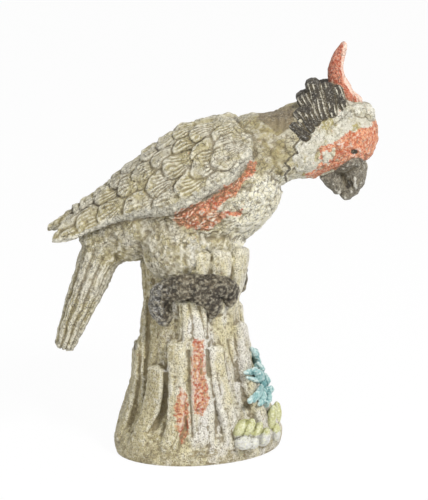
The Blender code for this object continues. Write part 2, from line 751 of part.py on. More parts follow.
def wing_places(hand):
    # The wing feathers by X and distance up the wing from its middle, and how to find a point so
    centres, reach, out = wing_sections(hand)
    order = np.argsort(centres[:, 0])
    known = centres[order, 0]
    tilt = math.radians(VIEW_TILT)

    def at(x, values):
        return np.stack([np.interp(x, known, values[order, i]) for i in range(3)], axis=-1)

    feathers = []
    for *ends, half in WING_FEATHERS:
        spots = []
        for across, down in (ends[:2], ends[2:]):
            x = (across - ORIGIN_PIXEL[0]) * PIXEL
            middle, up = at(x, centres) + at(x, out), at(x, reach)
            per_mm = (up[2] * math.cos(tilt) - hand * up[1] * math.sin(tilt)) / np.linalg.norm(up)
            start = middle[2] * math.cos(tilt) - abs(middle[1]) * math.sin(tilt)
            spots += [x, ((ORIGIN_PIXEL[1] - down) * PIXEL - start) / per_mm]
        feathers.append((*spots, half))
    return feathers, lambda x: (at(x, centres), at(x, reach))


def carve_wing(points, hand):
    feathers, section = wing_places(hand)
    centre, up = section(points[:, 0])
    size = np.linalg.norm(up, axis=1)
    along = points[:, 0]
    across = np.einsum("ij,ij->i", points - centre, up) / size
    wave, sway = (WING_SWAY * smooth_noise(points, WING_SWAY_PITCH, seed) for seed in WING_SWAY_SEEDS)
    height = shingles(along + wave, across + sway, feathers)
    widen = np.clip((along - EDGE_WIDENS_FROM) / EDGE_WIDENS_OVER, 0, 1)
    strip = EDGE_STRIP * (EDGE_TIP_SHARE + (1 - EDGE_TIP_SHARE) * widen)
    edge = np.clip((across + size) / strip - EDGE_TIP_SHARE, 0, 1)
    height = WING_EDGE_LIFT + (height - WING_EDGE_LIFT) * edge
    return WING_FEATHER_DEPTH * (height - WING_MEAN_LIFT)


def body_feathers(length):
    # Staggered feathers over the unrolled body: root and tip along and across it, half width
    rng = np.random.default_rng(BODY_LAYOUT_SEED)
    feathers = []
    rows = int(BODY_GIRTH / BODY_FEATHER_ROW) + 1
    for number in range(rows):
        across = (number - (rows - 1) / 2) * BODY_FEATHER_ROW
        along = -BODY_FEATHER_WIDTH * (0.5 if number % 2 else 0)
        while along < length:
            reach = BODY_FEATHER_WIDTH * rng.uniform(*BODY_FEATHER_LENGTHS)
            side = across + rng.uniform(-BODY_FEATHER_SHIFT, BODY_FEATHER_SHIFT) * BODY_FEATHER_ROW
            turn = rng.uniform(-BODY_FEATHER_TURN, BODY_FEATHER_TURN)
            half = BODY_FEATHER_WIDTH * rng.uniform(*BODY_FEATHER_HALVES)
            feathers.append((along, side, along + reach * math.cos(turn), side + reach * math.sin(turn), half))
            along += BODY_FEATHER_SHOWING * reach
    return sorted(feathers, reverse=True)


def carve_body(points):
    line = curve_through(over_stump(BODY_LINE), RINGS)
    gaps = np.linalg.norm(points[:, None, ::2] - line[None, :, :3:2], axis=2)
    near = gaps.argmin(axis=1)
    steps = np.linalg.norm(np.diff(line[:, :3], axis=0), axis=1)
    travel = np.concatenate(([0], np.cumsum(steps)))
    heading = np.gradient(line[:, :3], axis=0)
    heading /= np.linalg.norm(heading, axis=1)[:, None]
    offset = points - line[near, :3]
    along = travel[-1] - travel[near] - np.einsum("ij,ij->i", offset, heading[near])
    depth = np.einsum("ij,ij->i", offset, np.cross(heading[near], (0, 1, 0)))
    around = np.arctan2(points[:, 1], depth) * line[near, 3:5].mean(axis=1)
    wave, sway = (BODY_SWAY * smooth_noise(points, BODY_SWAY_PITCH, seed) for seed in BODY_SWAY_SEEDS)
    feathers = body_feathers(travel[-1] + 2 * BODY_OVERRUN)
    height = shingles(along + BODY_OVERRUN + wave, around + sway, feathers)
    breast = np.clip((points[:, 0] - BREAST_START[0]) / BREAST_FADE[0], 0, 1)
    breast *= np.clip((BREAST_START[1] - points[:, 2]) / BREAST_FADE[1], 0, 1)
    lumps = BREAST_LUMP_DEPTH * breast * smooth_noise(points, BREAST_LUMP_PITCH, BREAST_LUMP_SEED)
    return (BODY_FEATHER_DEPTH - BREAST_DEPTH_LOSS * breast) * (height - BODY_MEAN_LIFT) + lumps


def carve_tail(points):
    line = curve_through(over_stump(TAIL_LINE), RINGS)
    order = np.argsort(line[:, 2])
    centre, half_depth, half_width = (
        np.interp(points[:, 2], line[order, 2], line[order, column]) for column in (0, 3, 4))
    angle = np.arctan2(points[:, 1] / half_width, (points[:, 0] - centre) / half_depth)
    angle += TAIL_SWAY * smooth_noise(points, TAIL_SWAY_PITCH, TAIL_SWAY_SEED)
    return TAIL_GROOVE * (np.abs(np.cos(angle * TAIL_QUILLS)) - TAIL_MEAN_LIFT)


def carve_bark(points):
    grooves = smooth_noise(points * (1, 1, 1 / GROOVE_STRETCH), GROOVE_PITCH, GROOVE_SEED)
    lumps = smooth_noise(points, LUMP_PITCH, LUMP_SEED)
    fade = np.clip(points[:, 2] / SMOOTH_FOOT_HEIGHT, 0, 1)
    height = (GROOVE_DEPTH * grooves + LUMP_DEPTH * lumps) * fade
    spots = in_photo(points)
    for path, half, depth in CRACKS:
        crack = np.clip(1 - path_distance(spots, path) / half, 0, 1)
        height -= depth * crack * (points[:, 1] < 0)
    return height


def carve_head(points):
    spots = in_photo(points)
    height = np.zeros(len(points))
    for across, down, length, breadth, rise in HEAD_LUMPS:
        far = np.hypot((spots[:, 0] - across) / length, (spots[:, 1] - down) / breadth)
        height += rise * np.clip(LUMP_FADE - far**2, 0, 1)
    return height


def carve(mesh, names, owner):
    kind = np.array([name.split(".")[0].split("_")[0] for name in names])[owner]
    bark = np.isin(kind, ("trunk", "plank", "rim"))
    points = soften(mesh, ~bark)
    strength = {}
    masks = {
        "bark": bark,
        "tail": kind == "tail",
        "body": np.isin(kind, ("body", "thigh")),
        "head": np.isin(kind, ("head", "hood", "brow")),
        "right": (kind == "wing") & (points[:, 1] < 0),
        "left": (kind == "wing") & (points[:, 1] >= 0),
    }
    for region, mask in masks.items():
        strength[region] = spread(mesh, mask.astype(float), BLEND_PASSES)
    height = strength["bark"] * carve_bark(points)
    height += strength["tail"] * carve_tail(points)
    height += strength["body"] * carve_body(points)
    height += strength["head"] * carve_head(points)
    height += strength["right"] * carve_wing(points, -1)
    height += strength["left"] * carve_wing(points, 1)
    moved = points + vertex_normals(mesh) * height[:, None]
    mesh.vertices.foreach_set("co", moved.ravel())
    mesh.update()


def finish_skin(mesh):
    # Fewer triangles, a flat underside, and metres
    skin = bpy.data.objects.new("skin", mesh)
    bpy.context.scene.collection.objects.link(skin)
    count = sum(len(face.vertices) - 2 for face in mesh.polygons)
    reduce = skin.modifiers.new("reduce", "DECIMATE")
    reduce.ratio = SKIN_TRIANGLES / count
    lean = evaluated(skin)
    bpy.data.objects.remove(skin)
    bm = bmesh.new()
    bm.from_mesh(lean)
    every = bm.verts[:] + bm.edges[:] + bm.faces[:]
    bmesh.ops.bisect_plane(bm, geom=every, plane_co=(0, 0, 0), plane_no=(0, 0, 1), clear_inner=True)
    rim = [edge for edge in bm.edges if edge.is_boundary]
    bmesh.ops.contextual_create(bm, geom=rim)
    bmesh.ops.triangulate(bm, faces=bm.faces)
    bmesh.ops.dissolve_degenerate(bm, dist=SHORTEST_EDGE, edges=bm.edges)
    bmesh.ops.triangulate(bm, faces=bm.faces)
    bmesh.ops.scale(bm, vec=(MM, MM, MM), verts=bm.verts)
    bm.to_mesh(lean)
    bm.free()
    return lean


def make_material():
    paint = bpy.data.materials.new("painted_casting")
    paint.use_nodes = True
    shader = paint.node_tree.nodes["Principled BSDF"]
    shader.inputs["Base Color"].default_value = PAINT
    shader.inputs["Roughness"].default_value = 0.8
    shader.inputs["Metallic"].default_value = 0.0
    return paint


def main():
    for thing in list(bpy.data.objects):
        bpy.data.objects.remove(thing)
    forms = make_stump() + make_leaves() + make_body() + make_head_trim()
    for hand in (-1, 1):
        forms += [make_wing(hand)] + make_foot(hand)
    names = [form.name for form in forms]
    mesh, owner = fuse(forms, SKIN_CELL)
    carve(mesh, names, owner)
    lean = finish_skin(mesh)
    lean.name = "cockatoo_figurine"
    lean.materials.append(make_material())
    figurine = bpy.data.objects.new("cockatoo_figurine", lean)
    home = bpy.data.collections.new("cockatoo_on_stump")
    bpy.context.scene.collection.children.link(home)
    home.objects.link(figurine)
    lean.shade_smooth()
    lean.set_sharp_from_angle(angle=math.radians(SHARP_ANGLE))


main()
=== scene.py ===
import itertools
import math

import bmesh
import bpy
import numpy as np
from mathutils import Matrix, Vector
from mathutils.bvhtree import BVHTree


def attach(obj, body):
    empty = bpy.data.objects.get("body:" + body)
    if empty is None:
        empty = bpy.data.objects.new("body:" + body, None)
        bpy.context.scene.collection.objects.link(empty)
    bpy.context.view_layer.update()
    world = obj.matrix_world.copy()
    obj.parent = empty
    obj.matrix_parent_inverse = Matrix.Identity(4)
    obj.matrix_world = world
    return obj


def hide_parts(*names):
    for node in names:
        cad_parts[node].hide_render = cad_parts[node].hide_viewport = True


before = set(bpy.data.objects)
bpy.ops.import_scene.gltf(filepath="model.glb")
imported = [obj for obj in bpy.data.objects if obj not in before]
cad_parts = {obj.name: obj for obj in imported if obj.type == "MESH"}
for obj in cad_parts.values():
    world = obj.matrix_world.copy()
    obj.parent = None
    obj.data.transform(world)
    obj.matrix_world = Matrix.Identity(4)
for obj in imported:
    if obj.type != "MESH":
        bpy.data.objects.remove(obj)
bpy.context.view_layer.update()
print("frame loaded")

# The bird and stump are shaped in millimetres and scaled to metres at the end.
# The bird looks along +X, and the photograph shows its right side, towards -Y.
mm = 0.001
pixel = 0.8385                  # millimetres in a pixel of the photograph
originPixel = (198.0, 449.4)    # where the middle of the underside lies in it
viewTilt = math.radians(13)     # the photograph looks down by this much
ringCount = 40
sideCount = 40


# curves and solids

def curveThrough(rows, count):
    rows = np.asarray(rows, float)
    steps = np.linalg.norm(np.diff(rows[:, :3], axis=0), axis=1)
    knots = np.concatenate(([0], np.cumsum(steps)))
    slopes = np.gradient(rows, knots, axis=0)
    places = np.linspace(0, knots[-1], count)
    left = np.clip(np.searchsorted(knots, places, side="right") - 1, 0, len(knots) - 2)
    span = (knots[left + 1] - knots[left])[:, None]
    t = (places - knots[left])[:, None] / span
    start = (2 * t**3 - 3 * t**2 + 1) * rows[left] + (t**3 - 2 * t**2 + t) * span * slopes[left]
    end = (3 * t**2 - 2 * t**3) * rows[left + 1] + (t**3 - t**2) * span * slopes[left + 1]
    return start + end


def unit(vectors):
    return vectors / np.linalg.norm(vectors, axis=-1, keepdims=True)


def loft(name, centres, first, second, domes=(0, 0), power=2.0, sides=sideCount):
    # rings of a rounded section, with a dome at each end
    centres, first, second = (np.asarray(v, float) for v in (centres, first, second))
    lead = centres[0] - centres[1]
    trail = centres[-1] - centres[-2]
    stack = [(centres[i], first[i], second[i]) for i in range(len(centres))]
    for end, heading, dome in ((0, lead, domes[0]), (-1, trail, domes[1])):
        heading = unit(heading)
        caps = []
        for step in range(1, 6):
            turn = 0.5 * math.pi * step / 6
            centre = centres[end] + heading * dome * math.sin(turn)
            caps.append((centre, first[end] * math.cos(turn), second[end] * math.cos(turn)))
        stack = caps[::-1] + stack if end == 0 else stack + caps
    angles = np.linspace(0, 2 * math.pi, sides, endpoint=False)
    across = np.sign(np.cos(angles)) * np.abs(np.cos(angles)) ** (2 / power)
    along = np.sign(np.sin(angles)) * np.abs(np.sin(angles)) ** (2 / power)
    bm = bmesh.new()
    rings = []
    for centre, a, b in stack:
        ring = centre + across[:, None] * a + along[:, None] * b
        rings.append([bm.verts.new(p) for p in ring])
    for low, high in zip(rings, rings[1:]):
        for i in range(sides):
            j = (i + 1) % sides
            bm.faces.new((low[i], low[j], high[j], high[i]))
    bm.faces.new(rings[0][::-1])
    bm.faces.new(rings[-1])
    bmesh.ops.recalc_face_normals(bm, faces=bm.faces)
    return formFrom(name, bm)


def addThing(name, data):
    thing = bpy.data.objects.new(name, data)
    bpy.context.scene.collection.objects.link(thing)
    return thing


def formFrom(name, bm):
    mesh = bpy.data.meshes.new(name)
    bm.to_mesh(mesh)
    bm.free()
    return addThing(name, mesh)


def sweep(name, rows, domes=(0, 0), power=2.0, count=ringCount):
    # rows of X, Y, Z, half depth in the X-Z plane and half width along Y
    line = curveThrough(rows, count)
    centres = line[:, :3]
    heading = unit(np.gradient(centres, axis=0))
    depth = unit(np.cross(heading, (0, 1, 0)))
    width = np.cross(depth, heading)
    return loft(name, centres, depth * line[:, 3:4], width * line[:, 4:5], domes, power)


def ball(name, centre, halves, lean=0.0):
    bm = bmesh.new()
    bmesh.ops.create_uvsphere(bm, u_segments=32, v_segments=20, radius=1)
    bmesh.ops.scale(bm, vec=halves, verts=bm.verts)
    bmesh.ops.rotate(bm, verts=bm.verts, matrix=Matrix.Rotation(math.radians(lean), 3, "Y"))
    bmesh.ops.translate(bm, vec=centre, verts=bm.verts)
    return formFrom(name, bm)


def smoothNoise(points, size, seed):
    table = np.random.default_rng(seed).uniform(-1, 1, (32, 32, 32))
    places = points / np.asarray(size, float)
    cell = np.floor(places).astype(int)
    part = places - cell
    part = part * part * (3 - 2 * part)
    total = np.zeros(len(points))
    for corner in itertools.product((0, 1), repeat=3):
        share = np.prod(np.where(corner, part, 1 - part), axis=1)
        index = (cell + corner) % 32
        total += share * table[index[:, 0], index[:, 1], index[:, 2]]
    return total


# one skin over several forms, and what is measured on it

def evaluated(thing):
    graph = bpy.context.evaluated_depsgraph_get()
    graph.update()
    return bpy.data.meshes.new_from_object(thing.evaluated_get(graph))


def skinOver(forms, bm, cell):
    # turns the forms joined in bm into closed skins, and removes the forms
    whole = formFrom("skin", bm)
    remesh = whole.modifiers.new("oneSkin", "REMESH")
    remesh.mode = "VOXEL"
    remesh.voxel_size = cell
    mesh = evaluated(whole)
    for form in forms + [whole]:
        bpy.data.objects.remove(form)
    return mesh


def fuseAll(forms, cell):
    # keeps every shell, for forms that stand apart
    bm = bmesh.new()
    for form in forms:
        bm.from_mesh(form.data)
    return skinOver(forms, bm, cell)


def fuse(forms, cell):
    # keeps the largest shell, and puts out the name of the form that each of its points came from
    names = [form.name.split(".")[0] for form in forms]
    owners = []
    bm = bmesh.new()
    for number, form in enumerate(forms):
        bm.from_mesh(form.data)
        owners += [number] * len(form.data.polygons)
    tree = BVHTree.FromBMesh(bm)
    mesh = skinOver(forms, bm, cell)
    dropBubbles(mesh)
    owner = [owners[tree.find_nearest(p)[2]] for p in pointsOf(mesh).tolist()]
    return mesh, np.array(names)[np.array(owner)]


def edgesOf(mesh):
    edges = np.empty(len(mesh.edges) * 2, int)
    mesh.edges.foreach_get("vertices", edges)
    return edges.reshape(-1, 2)


def dropBubbles(mesh):
    # overlapping forms leave small closed bubbles inside the skin
    edges = edgesOf(mesh)
    label = np.arange(len(mesh.vertices))
    while True:
        low = np.minimum(label[edges[:, 0]], label[edges[:, 1]])
        new = label.copy()
        np.minimum.at(new, edges[:, 0], low)
        np.minimum.at(new, edges[:, 1], low)
        new = new[new]
        if (new == label).all():
            break
        label = new
    main = np.bincount(label).argmax()
    if (label != main).any():
        bm = bmesh.new()
        bm.from_mesh(mesh)
        bm.verts.ensure_lookup_table()
        lost = [bm.verts[i] for i in np.nonzero(label != main)[0]]
        bmesh.ops.delete(bm, geom=lost, context="VERTS")
        bm.to_mesh(mesh)
        bm.free()


def pointsOf(mesh):
    places = np.empty(len(mesh.vertices) * 3)
    mesh.vertices.foreach_get("co", places)
    return places.reshape(-1, 3)


def normalsOf(mesh):
    normals = np.empty(len(mesh.vertices) * 3)
    mesh.vertex_normals.foreach_get("vector", normals)
    return normals.reshape(-1, 3)


def place(mesh, points):
    mesh.vertices.foreach_set("co", points.ravel())
    mesh.update()


class Neighbours:
    # each point takes the mean of itself and its neighbours, several times over
    def __init__(self, mesh):
        self.edges = edgesOf(mesh)
        self.count = np.bincount(self.edges.ravel(), minlength=len(mesh.vertices)) + 1.0

    def spread(self, values, passes):
        values = np.array(values, float)
        flat = values.reshape(len(values), -1)
        low, high = self.edges.T
        for _ in range(passes):
            total = flat.copy()
            for i in range(flat.shape[1]):
                total[:, i] += np.bincount(low, flat[high, i], len(flat))
                total[:, i] += np.bincount(high, flat[low, i], len(flat))
            flat = total / self.count[:, None]
        return flat.reshape(values.shape)


def fadeIn(values, start, over):
    # 0 up to the start of a stretch and 1 from its end on. A minus stretch runs downwards
    return np.clip((values - start) / over, 0, 1)


def layeredNoise(points, layers):
    # layers of noise, each with its size, seed and depth
    return sum(depth * smoothNoise(points, size, seed) for size, seed, depth in layers)


def roughSkin(mesh, passes, layers):
    # eases the steps that the remesh leaves, then roughens the skin
    near = Neighbours(mesh)
    points = near.spread(pointsOf(mesh), passes)
    place(mesh, points)
    place(mesh, points + normalsOf(mesh) * layeredNoise(points, layers)[:, None])
    return mesh, near


def seen(points):
    # where a point lies in the photograph, with both sides of the bird seen as its right side
    up = points[:, 2] * math.cos(viewTilt) - np.abs(points[:, 1]) * math.sin(viewTilt)
    return np.stack((originPixel[0] + points[:, 0] / pixel, originPixel[1] - up / pixel), axis=1)


def inPatch(spots, outline, soft):
    # 1 inside an outline and 0 outside it, over soft pixels
    outline = np.asarray(outline, float)
    ends = np.roll(outline, -1, axis=0)
    inside = np.zeros(len(spots), bool)
    nearest = np.full(len(spots), 1e9)
    for (ax, ay), (bx, by) in zip(outline, ends):
        nearest = np.minimum(nearest, segmentDistance(spots, (ax, ay), (bx, by)))
        crosses = (ay > spots[:, 1]) != (by > spots[:, 1])
        run = (spots[:, 1] - ay) / (by - ay if by != ay else 1e-9)
        inside ^= crosses & (spots[:, 0] < ax + run * (bx - ax))
    signed = np.where(inside, nearest, -nearest)
    return np.clip(0.5 + signed / soft, 0, 1)


def segmentDistance(spots, a, b):
    a, b = np.asarray(a, float), np.asarray(b, float)
    step = b - a
    t = np.clip((spots - a) @ step / max(step @ step, 1e-9), 0, 1)
    return np.linalg.norm(spots - a - t[:, None] * step, axis=1)


def pathDistance(spots, path):
    return np.min([segmentDistance(spots, a, b) for a, b in zip(path, path[1:])], axis=0)


def groove(spots, path, half):
    # 1 on a path and 0 from half pixels away
    return np.clip(1 - pathDistance(spots, path) / half, 0, 1) ** 1.5


# feathers

feather = {
    "base": 0.3,            # height of the skin between feathers, where a feather's tip is 1
    "farRim": 6.0,          # an outline further away than this isn't marked
    "rootWidth": 0.72,      # width at the root, as a share
    "roundFrom": 0.55,      # the tip is round from this share of the length
    "rootHeight": 0.25,
    "cup": 0.22,            # how far the sides drop below the middle
    "rimWidth": 1.6,
    "rimHeight": 0.4,       # height at the very edge, as a share
    "shadow": 0.35,         # share of the height lost under the edge of a feather that lies over
    "fanFrom": 0.45,        # the barbs fan out from this share of the length behind the root
}


def shingles(a, b, feathers):
    # later feathers lie over earlier ones. A feather is root a, b, tip a, b and half width.
    # puts out height 0 to 1, distance to the nearest outline, the fan of barbs and a random shade
    far, rimWidth, rimHeight = feather["farRim"], feather["rimWidth"], feather["rimHeight"]
    height = np.full(len(a), feather["base"])
    rim = np.full(len(a), far)
    fan = np.zeros(len(a))
    shade = np.full(len(a), 0.5)
    rng = np.random.default_rng(8)
    for rootA, rootB, tipA, tipB, half in feathers:
        tone = rng.uniform(0, 1)
        reach = math.hypot(tipA - rootA, tipB - rootB)
        along = ((tipA - rootA) / reach, (tipB - rootB) / reach)
        middleA, middleB = (rootA + tipA) / 2, (rootB + tipB) / 2
        near = np.nonzero(np.hypot(a - middleA, b - middleB) < reach / 2 + half + 5)[0]
        da, db = a[near] - rootA, b[near] - rootB
        s = (da * along[0] + db * along[1]) / reach
        t = (db * along[0] - da * along[1]) / half
        width = feather["rootWidth"] + (1 - feather["rootWidth"]) * np.clip(s / feather["roundFrom"], 0, 1)
        bow = np.clip((s - feather["roundFrom"]) / (1 - feather["roundFrom"]), 0, None)
        q = np.sqrt((t / width) ** 2 + bow**2)
        gap = (1 - q) * half
        covered = (gap > 0) & (s > 0)
        lift = feather["rootHeight"] + (1 - feather["rootHeight"]) * np.clip(s, 0, 1) ** 0.8
        lift *= 1 - feather["cup"] * t**2
        lift *= rimHeight + (1 - rimHeight) * np.clip(gap / rimWidth, 0, 1) ** 0.7
        height[near] = np.where(covered, lift, height[near])
        shadow = np.clip(1 + gap / (1.2 * rimWidth), 0, 1) * ~covered * (s > 0.15)
        height[near] -= feather["shadow"] * shadow * height[near]
        edge = np.where(s > 0.08, np.abs(gap), far)
        rim[near] = np.where(covered, edge, np.minimum(rim[near], edge))
        angle = np.arctan2(t * half, (s + feather["fanFrom"]) * reach)
        fan[near] = np.where(covered, angle * reach, fan[near])
        shade[near] = np.where(covered, tone, shade[near])
    return height, np.clip(rim, 0, far), fan, shade


# the forms of the bird

body = {
    "spine": (  # X, height over the stump's top, half depth, half width
        (-84, 10, 19, 20), (-60, 20, 29, 30), (-30, 39, 42, 38), (5, 53, 53, 43), (31, 66, 48, 42),
        (52, 84.5, 33.8, 35), (69, 89.8, 29.4, 31), (87, 95.6, 31, 29), (104, 99.5, 31.6, 28)),
    "tail": ((-74, 14, 20.5, 22), (-85, -10, 16, 20), (-97.5, -41, 12.9, 18), (-108, -67, 9.8, 15),
             (-113, -80, 8, 13)),
    "thigh": (-18, 28, 10, 28, 17, 28),
    "belly": (0, 14, 42, 36, 22),
    "featherDepth": 2.7,
    "featherLength": 18.0,
    "featherRow": 13.0,
    "featherMargin": (30, 30),      # rows run on past both ends of the spine
    "girth": 300,
    "wave": ((9, 31, 3.4),),
    "sway": ((9, 32, 3.4),),
    "quills": 5.5,                  # waves of the tail's quills round it
    "fineQuills": 16,
    "breastFront": (8, 30),         # where along X the breast begins, and over how far
    "breastTop": (262, -24),        # and up Z
    "breastLow": (228, -15),
    "breastWave": 1.3,
    "breastTrim": 1.2,
    "barbDepth": 0.4,
    "quillDepth": 2.2,
    "fineQuillDepth": 0.6,
    "thighStreak": 0.7,
    "skin": ((2.7, 52, 0.6), (6.5, 53, 0.8)),   # size, seed and depth of each layer of noise
    "relief": (0.16, 0.55),         # fine and broad curving that counts as a full hollow or ridge
    "cell": 1.02,
}
wing = {
    "line": (  # X, then side and height of the upper edge, side and height of the lower edge
        (41, 17, 102, 41, 84), (30, 9, 114, 45, 69), (10, 8, 112, 47, 57), (-15, 7, 104.5, 46, 43),
        (-40, 5, 87, 41, 38.5), (-65, 4, 66.5, 34, 33), (-90, 7, 46, 28, 21.5),
        (-107, 12, 31.5, 27, 14.5), (-118.5, 17, 22, 24, 12.8)),
    "thickness": (12, 14, 14.5, 14.5, 13, 10, 6.5, 4.5, 3.5),
    "tipShift": {-1: 0.5, 1: -6.5},     # the near wing is a little shorter than the far one
    "tipShiftFrom": -85,
    "depth": 3.9,
    "meanLift": 0.76,
    "strip": 9.0,       # smooth leading edge, in millimetres
    "stripAtTip": 0.35, # its width near the wing tip, as a share
    "shoulder": (-70, 60),      # where along X it begins to widen, and over how far
    "wave": ((9, 21, 1.7), (3.5, 23, 0.5)),     # how feathers wander, along the wing and across it
    "sway": ((9, 22, 1.7), (3.5, 24, 0.5)),
}
stumpTop = 170


def overStump(rows):
    return [(x, 0, stumpTop + rise, *rest) for x, rise, *rest in rows]


def wingSections(hand):
    line = []
    lastX = wing["line"][-1][0]
    for (x, upperSide, upper, lowerSide, lower), half in zip(wing["line"], wing["thickness"]):
        x += wing["tipShift"][hand] * max(0, (x - wing["tipShiftFrom"]) / (lastX - wing["tipShiftFrom"]))
        top = np.array((x, hand * upperSide, stumpTop + upper))
        foot = np.array((x, hand * lowerSide, stumpTop + lower))
        line.append((*((top + foot) / 2), *((top - foot) / 2), half))
    line = curveThrough(line, ringCount)
    centres, reach = line[:, :3], line[:, 3:6]
    return centres, reach, unit(np.cross((1, 0, 0), reach) * -hand) * line[:, 6:7]


# Feathers on the wing: root and tip as pixels of the photograph, and half width in millimetres.
# They are listed from the tip of the wing to the shoulder, so each lies over the ones before it.
wingFeathers = (
    (108, 214, 57, 241, 9), (104, 203, 62, 236, 6), (100, 198, 60, 228, 6), (96, 193, 70, 214, 6),
    (116, 205, 76, 225, 11), (104, 188, 80, 206, 8), (116, 175, 92, 193, 7), (130, 160, 104, 180, 7),
    (132, 200, 100, 215, 12.5), (126, 184, 96, 200, 10), (136, 170, 110, 186, 9), (148, 154, 122, 170, 8),
    (160, 197, 125, 206, 14), (150, 178, 118, 192, 10.5), (160, 163, 133, 178, 9.5), (164, 142, 140, 156, 8),
    (182, 132, 156, 147, 8), (180, 151, 151, 166, 10), (194, 196, 153, 206, 12.5), (178, 177, 147, 190, 11),
    (200, 140, 172, 153, 9.5), (196, 124, 174, 136, 8), (224, 186, 186, 203, 10), (196, 160, 162, 172, 11),
    (210, 176, 176, 190, 12), (222, 146, 190, 158, 10), (214, 126, 190, 139, 9), (236, 170, 206, 189, 10),
    (224, 160, 190, 173, 11.5), (234, 128, 212, 142, 9.5), (240, 142, 214, 155, 11), (248, 150, 232, 168, 9),
    (238, 152, 211, 169, 12),
)


def onWing(points, hand):
    # how far along X a point of the wing lies, and how far up the wing from its middle
    centres, reach, out = wingSections(hand)
    order = np.argsort(centres[:, 0])
    known = centres[order, 0]

    def at(x, values):
        return np.stack([np.interp(x, known, values[order, i]) for i in range(3)], axis=-1)

    centre, up = at(points[:, 0], centres), at(points[:, 0], reach)
    size = np.linalg.norm(up, axis=1)
    across = np.einsum("ij,ij->i", points - centre, up) / size
    placed = []
    for *ends, half in wingFeathers:
        spots = []
        for px, py in (ends[:2], ends[2:]):
            x = (px - originPixel[0]) * pixel
            mid, rise, skin = (at(np.array(x), v) for v in (centres, reach, out))
            mid = mid + skin
            seenUp = (originPixel[1] - py) * pixel
            length = np.linalg.norm(rise)
            perMm = (rise[2] * math.cos(viewTilt) - hand * rise[1] * math.sin(viewTilt)) / length
            atMiddle = mid[2] * math.cos(viewTilt) - abs(mid[1]) * math.sin(viewTilt)
            spots += [x, (seenUp - atMiddle) / perMm]
        placed.append((*spots, half))
    return points[:, 0], across, size, placed


def carveWing(points, hand):
    a, b, size, placed = onWing(points, hand)
    wave, sway = (layeredNoise(points, wing[key]) for key in ("wave", "sway"))
    height, rim, fan, shade = shingles(a + wave, b + sway, placed)
    atTip = wing["stripAtTip"]
    strip = wing["strip"] * (atTip + (1 - atTip) * fadeIn(a, *wing["shoulder"]))
    below = (b + size) / strip
    edge = np.clip(below - 0.35, 0, 1)
    height = 0.55 + (height - 0.55) * edge
    rim = np.where(below < 1, np.minimum(rim + 4 * (1 - np.clip(below, 0, 1)), feather["farRim"]), rim)
    return height, rim, fan, shade, 1 - edge


def bodyLayout(length, girth, width, row, seed):
    rng = np.random.default_rng(seed)
    feathers = []
    count = int(girth / row) + 1
    for number in range(count):
        across = (number - (count - 1) / 2) * row
        along = -width * (0.5 if number % 2 else 0)
        while along < length:
            reach = width * rng.uniform(1.1, 1.5)
            side = across + rng.uniform(-0.2, 0.2) * row
            turn = rng.uniform(-0.3, 0.3)
            feathers.append((along, side, along + reach * math.cos(turn), side + reach * math.sin(turn),
                             width * rng.uniform(0.42, 0.6)))
            along += 0.6 * reach
    return sorted(feathers, reverse=True)


def carveBody(points):
    line = curveThrough(overStump(body["spine"]), ringCount)
    near = np.linalg.norm(points[:, None, ::2] - line[None, :, :3:2], axis=2).argmin(axis=1)
    steps = np.linalg.norm(np.diff(line[:, :3], axis=0), axis=1)
    travel = np.concatenate(([0], np.cumsum(steps)))
    heading = unit(np.gradient(line[:, :3], axis=0))
    offset = points - line[near, :3]
    along = travel[-1] - travel[near] - np.einsum("ij,ij->i", offset, heading[near])
    depth = np.einsum("ij,ij->i", offset, np.cross(heading[near], (0, 1, 0)))
    around = np.arctan2(points[:, 1], depth) * line[near, 3:5].mean(axis=1)
    wave, sway = (layeredNoise(points, body[key]) for key in ("wave", "sway"))
    before, behind = body["featherMargin"]
    length = travel[-1] + before + behind
    feathers = bodyLayout(length, body["girth"], body["featherLength"], body["featherRow"], 5)
    return shingles(along + before + wave, around + sway, feathers)


def carveTail(points):
    line = curveThrough(overStump(body["tail"]), ringCount)
    order = np.argsort(line[:, 2])
    heights = line[order, 2]
    centre, halfDepth, halfWidth = (np.interp(points[:, 2], heights, line[order, i]) for i in (0, 3, 4))
    angle = np.arctan2(points[:, 1] / halfWidth, (points[:, 0] - centre) / halfDepth)
    angle += 0.12 * smoothNoise(points, 14, 41)
    quills = np.abs(np.cos(angle * body["quills"]))
    fine = np.abs(np.cos(angle * body["fineQuills"] + 0.6 * smoothNoise(points, 9, 42)))
    return quills, fine


